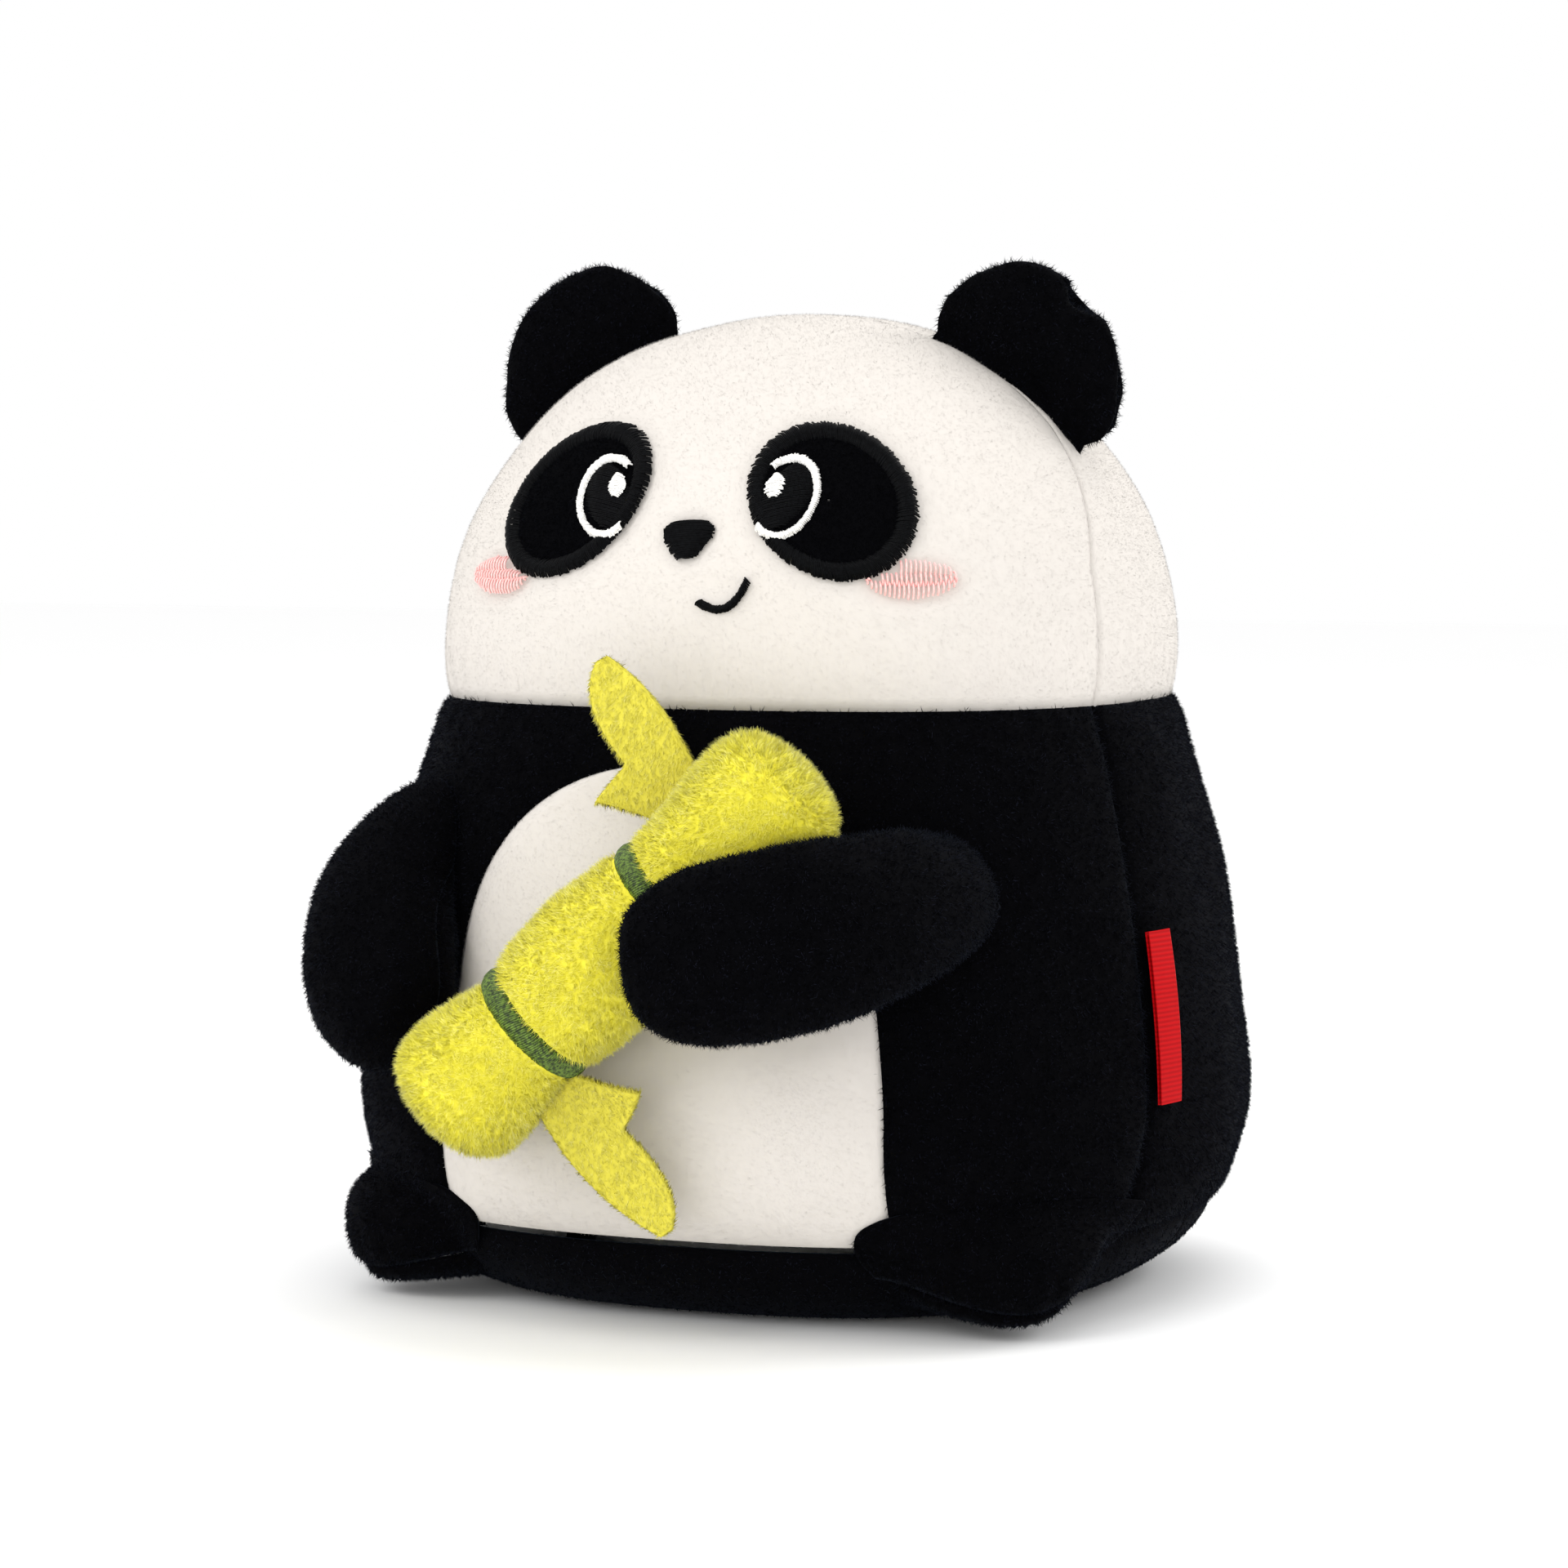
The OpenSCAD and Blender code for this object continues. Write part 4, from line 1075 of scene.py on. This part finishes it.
# %% Arms
def limb_place(limb, angle, v, off):
    path, long, root, tip, flat, facing = limb
    f = (1 - np.cos(np.pi * v)) / 2
    radius = (root + (tip - root) * f * f * (3 - 2 * f)) * np.sin(np.pi * v).clip(0) ** 0.45
    radius = radius + off * np.clip(12 * np.minimum(v, 1 - v), 0, 1)
    path = np.asarray(path, float)
    f = f[:, None]
    centre = (1 - f) ** 2 * path[0] + 2 * f * (1 - f) * path[1] + f * f * path[2]
    way = unit((1 - f) * (path[1] - path[0]) + f * (path[2] - path[1]))
    across = unit(np.cross(way, facing))
    face = np.cross(across, way)
    a = np.radians(angle)[:, None]
    radius = radius.clip(0.01)[:, None]
    return centre + across * radius * np.cos(a) + face * radius * flat * np.sin(a)


def reaches(points):
    """How far from the toy's middle line some points are, and how far the torso's cloth is."""
    x, y, z = points.T
    wall = torso(np.degrees(np.arctan2(y, x)), s_of(z.clip(0.5, 214)))
    return np.hypot(x, y), np.hypot(wall[:, 0], wall[:, 1])


def scaled_out(points, scale):
    """Moves points away from the toy's middle line."""
    x, y, z = points.T
    return np.stack([x * scale, y * scale, z], -1)


def pushed_off(points, body_gap, cane_gap):
    """Moves points out of the torso and the bamboo, as soft cloth gives way."""
    here, reach = reaches(points)
    points = scaled_out(points, np.maximum(here, reach + body_gap) / here)
    along = (points - CANE_LOW) @ CANE_WAY
    spine = CANE_LOW + along[:, None] * CANE_WAY
    out = points - spine
    far = np.linalg.norm(out, axis=1)
    beside = (along > -2) & (along < CANE_LONG + 2)
    need = np.where(beside, cane_radius(along / CANE_LONG) + cane_gap, 0)
    return spine + out * (np.maximum(far, need) / far)[:, None]


ARMS = {
    "left": ([(61, -64, 95), (59, -127, 89), (14, -129, 81.5)], 92, 16, 21, 0.72, (0.45, -0.88, 0.1)),
    "right": ([(-59, -58, 108), (-75.5, -90, 85), (-51, -99, 60)], 75, 14, 19.5, 0.85, (-0.2, -0.96, 0.15)),
}


def sewn_arm(mesh, name, material, word):
    """A piece of an arm, with the arm's shoulder given as its root."""
    shoulder, elbow = (Vector(place) * MM for place in ARMS[word][0][:2])
    piece(mesh, name, material, "arm_" + word, shoulder)


def arm_panel(word, outer, seed):
    name = f"arm_{word}_" + ("outer" if outer else "inner")
    limb = ARMS[word]

    def place(u, v):
        angle = (0 if outer else 180) + 180 * (1 - u)
        to_seam = np.minimum(u, 1 - u) * 50
        off = seam_dip(to_seam, v * 90, 0.9, 2.0, pucker=0.2)
        points = limb_place(limb, angle, v, off)
        off = off + lumps(points, 18, 0.7, seed) * np.clip(to_seam / 5, 0, 1)
        points = limb_place(limb, angle, v, off)
        return pushed_off(points, 0.6, 1.0)

    mesh = with_pile(lay(name, 40, 64, place), name, seed=seed, **MINKY)
    sewn_arm(mesh, name, BLACK_MINKY, word)


def arm_wadding(word):
    name = f"arm_{word}_filling"

    def place(u, v):
        return pushed_off(limb_place(ARMS[word], 360 * u, 0.12 + 0.76 * v, -3.2), 2.4, 3.8)

    sewn_arm(wadding(name, 40, 40, place), name, FILLING, word)


for word in ARMS:
    arm_panel(word, True, 61)
    arm_panel(word, False, 62)
    arm_wadding(word)


# %% [markdown]
# A foot is a dome of the same cloth over a shallow sole that turns up at its sides. Where it
# meets the body the two stuffed forms press together, so the dome flares out on to the body.

# %% Feet
FOOT = dict(turn=48, root=74, long=34, width=28, height=29, low=3, seam=6, back=-14, lift=16, inner=10)


def foot_place(side, angle, h, off):
    """A point of a foot at an angle round it, h from -1 at the sole through 0 at the seam to 1."""
    tuck = 40                     # the dome is widest some way above its seam
    q = np.radians(-tuck + (90 + tuck) * h.clip(0, 1))
    up = (np.sin(q) + sin(radians(tuck))) / (1 + sin(radians(tuck)))
    z = FOOT["seam"] + (FOOT["height"] - FOOT["seam"]) * up + (FOOT["low"] - FOOT["seam"]) * -h.clip(-1, 0)
    k = np.cos(q).clip(0.02) ** 0.6 * np.where(h < 0, 0.75 + 0.25 * np.sqrt(1 - h.clip(-1, 0) ** 2), 1.0)
    toe = (FOOT["long"] - 8) * k + 8 + off
    a = np.radians(angle)
    forward = np.where(np.sin(a) > 0, toe, -FOOT["back"]) * np.sin(a)
    across = (FOOT["width"] * k + off) * np.cos(a)
    lift = np.where(across > 0, FOOT["lift"], FOOT["inner"])
    z = z + lift * (across / FOOT["width"]) ** 2 * (1 - up)
    turn = radians(-90 + side * FOOT["turn"])
    reach = FOOT["root"] + forward
    x = reach * cos(turn) - side * across * sin(turn)
    y = reach * sin(turn) + side * across * cos(turn)
    return np.stack([x, y, z], -1)


def flared(points, lift, soften):
    """Pulls points that are inside the torso out to its cloth, with a soft corner between."""
    here, reach = reaches(points)
    reach = reach + lift
    above = here - reach
    smooth = (above + np.sqrt(above ** 2 + soften ** 2)) / 2 * (1 / (1 + np.exp(-(above + 14) / 3)))
    return scaled_out(points, (reach + smooth) / here)


def foot_panels(side, word, seed):
    def top_place(u, v):
        angle = 180 - 180 * u if side < 0 else 180 * u
        h = v * 0.97
        off = seam_dip(v * 30, u * 70, 1.3, 1.6, pucker=0.3)
        points = foot_place(side, angle, h, off)
        points = foot_place(side, angle, h, off + lumps(points, 16, 0.6, seed))
        return flared(points, 0.2, 5.0 if side > 0 else 1.5)

    def sole_place(u, v):
        angle = 360 * u if side > 0 else -360 * u
        shrink = np.where(v > 0.5, 2 * (1 - v), 1.0)
        off = seam_dip(v * 8, u * 140, 1.3, 1.6, pucker=0.3)
        edge = foot_place(side, angle, -np.minimum(1, 2 * v), off)
        middle = foot_place(side, np.full_like(v, 90), np.full_like(v, -1), -FOOT["long"])
        return middle + (edge - middle) * shrink[:, None]

    top, sole = f"foot_{word}_top", f"foot_{word}_sole"
    panel = with_pile(lay(top, 60, 30, top_place), top, seed=seed, **MINKY)
    piece(panel, top, BLACK_MINKY, "torso")
    panel = with_pile(lay(sole, 90, 16, sole_place), sole, seed=seed + 1, **MINKY)
    piece(panel, sole, BLACK_MINKY, "torso")


def foot_wadding(side, word):
    """The fibre in a foot, just inside its cloth."""
    name = f"foot_{word}_filling"

    def place(u, v):
        points = foot_place(side, 360 * u, 1.9 * v - 0.95, -3.0)
        return points * [1, 1, 0.84] + [0, 0, 2.4]

    piece(wadding(name, 40, 24, place), name, FILLING, "torso")


for side, word in ((1, "left"), (-1, "right")):
    foot_panels(side, word, 72 + side)
    foot_wadding(side, word)


# %% [markdown]
# Each leaf is two layers of lime cloth sewn flat, cut with one long curved blade and a
# short point beside its root. The grid runs from one edge of the outline to the other.

# %% Leaves
def curve_through(points, t):
    """A quadratic Bezier curve at t, an array from 0 to 1."""
    a, b, c = (np.asarray(p, float) for p in points)
    t = t[:, None]
    return (1 - t) ** 2 * a + 2 * t * (1 - t) * b + t * t * c


def leaf(name, root, tip, facing, bow, seed):
    root, tip, facing = (np.asarray(p, float) for p in (root, tip, facing))
    way = unit(tip - root)
    side = unit(np.cross(way, facing))
    out = np.cross(side, way)

    def place(u, v):
        right = curve_through([(6.5, -2), (9.5, 18), (0.5, 33.5)], v)
        lobe = curve_through([(-4, -4), (-8, 2), (-14, 7)], np.clip(v / 0.25, 0, 1))
        notch = curve_through([(-14, 7), (-9, 10), (-5.5, 11)], np.clip((v - 0.25) / 0.15, 0, 1))
        blade = curve_through([(-5.5, 11), (-9.5, 28), (-2, 33.5)], np.clip((v - 0.4) / 0.6, 0, 1))
        left = np.where(v[:, None] < 0.25, lobe, np.where(v[:, None] < 0.4, notch, blade))
        flat = left + (right - left) * u[:, None]
        sag = bow * np.sin(pi * v) + 0.02 * flat[:, 0] ** 2 - 0.6
        return root + np.outer(flat[:, 0], side) + np.outer(flat[:, 1], way) + np.outer(sag, out)

    bm = lay(name, 16, 44, place)
    thicken(bm, 1.5)
    mesh = with_pile(
        bm, name, per_mm2=7, length=1.3, width=0.2, lean=(50, 74), combed=-0.6 * side - 0.8 * way,
        order=0.7, seed=seed, thickness=0, tuft=0.8, softness=0.3,
    )
    piece(mesh, name, YELLOW_MINKY, name)


leaf("leaf_upper", (7.5, -94, 112.5), (-7.5, -93, 139.5), (0.1, -1, 0), 1.0, 81)
leaf("leaf_lower", (-9, -110, 51), (10, -106, 24), (0.2, -1, -0.1), -1.0, 82)


# %% [markdown]
# The label is one length of red ribbon, folded into a loop with its ends in the side seam.

# %% Label and closing stitches
LABEL_LOW = 46.5      # height of the label's lower edge
RIBBON = (16.2, 36)   # the ribbon's length and width when it's laid flat
FOLD = 8.0            # how far out from the seam it is folded


def label_place(u, v):
    z = LABEL_LOW + RIBBON[1] * v
    seam = np.interp(z, *SEAM_ANGLE)
    run = u * RIBBON[0]
    turn = np.clip(run - FOLD + 0.5, 0, 1)
    across = np.where(run < FOLD, run, 2 * FOLD - run)
    lift = 1.6 + 0.45 * np.cos(pi * turn) + (0.5 * np.sin(2.5 * v) + 0.3 * v) * across / FOLD
    return torso(seam + np.degrees(across / 92), s_of(z), lift)


label_bm = lay("side_label", 33, 60, label_place)
thicken(label_bm, 0.25)
label = piece(finished(label_bm, "side_label"), "side_label", RED_RIBBON, "label")

rows = []
for k, z in enumerate(np.arange(50, 81, 5.0)):
    share = np.linspace(-1, 1, 7)
    rows.append(torso(90 + 1.1 * share, s_of(z + 0.4 * share), 1.1 * np.cos(share * pi / 2) - 0.9))
stitching("back_closing_stitches", rows, 0.55, BLACK_THREAD)


# %% [markdown]
# The CAD fillings that nothing stands for take the fibre's finish.

# %% Finish the fillings
for node_name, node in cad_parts.items():
    if "filling" in node_name or node_name == "pellet_pouch":
        node.data.materials.clear()
        node.data.materials.append(FILLING)
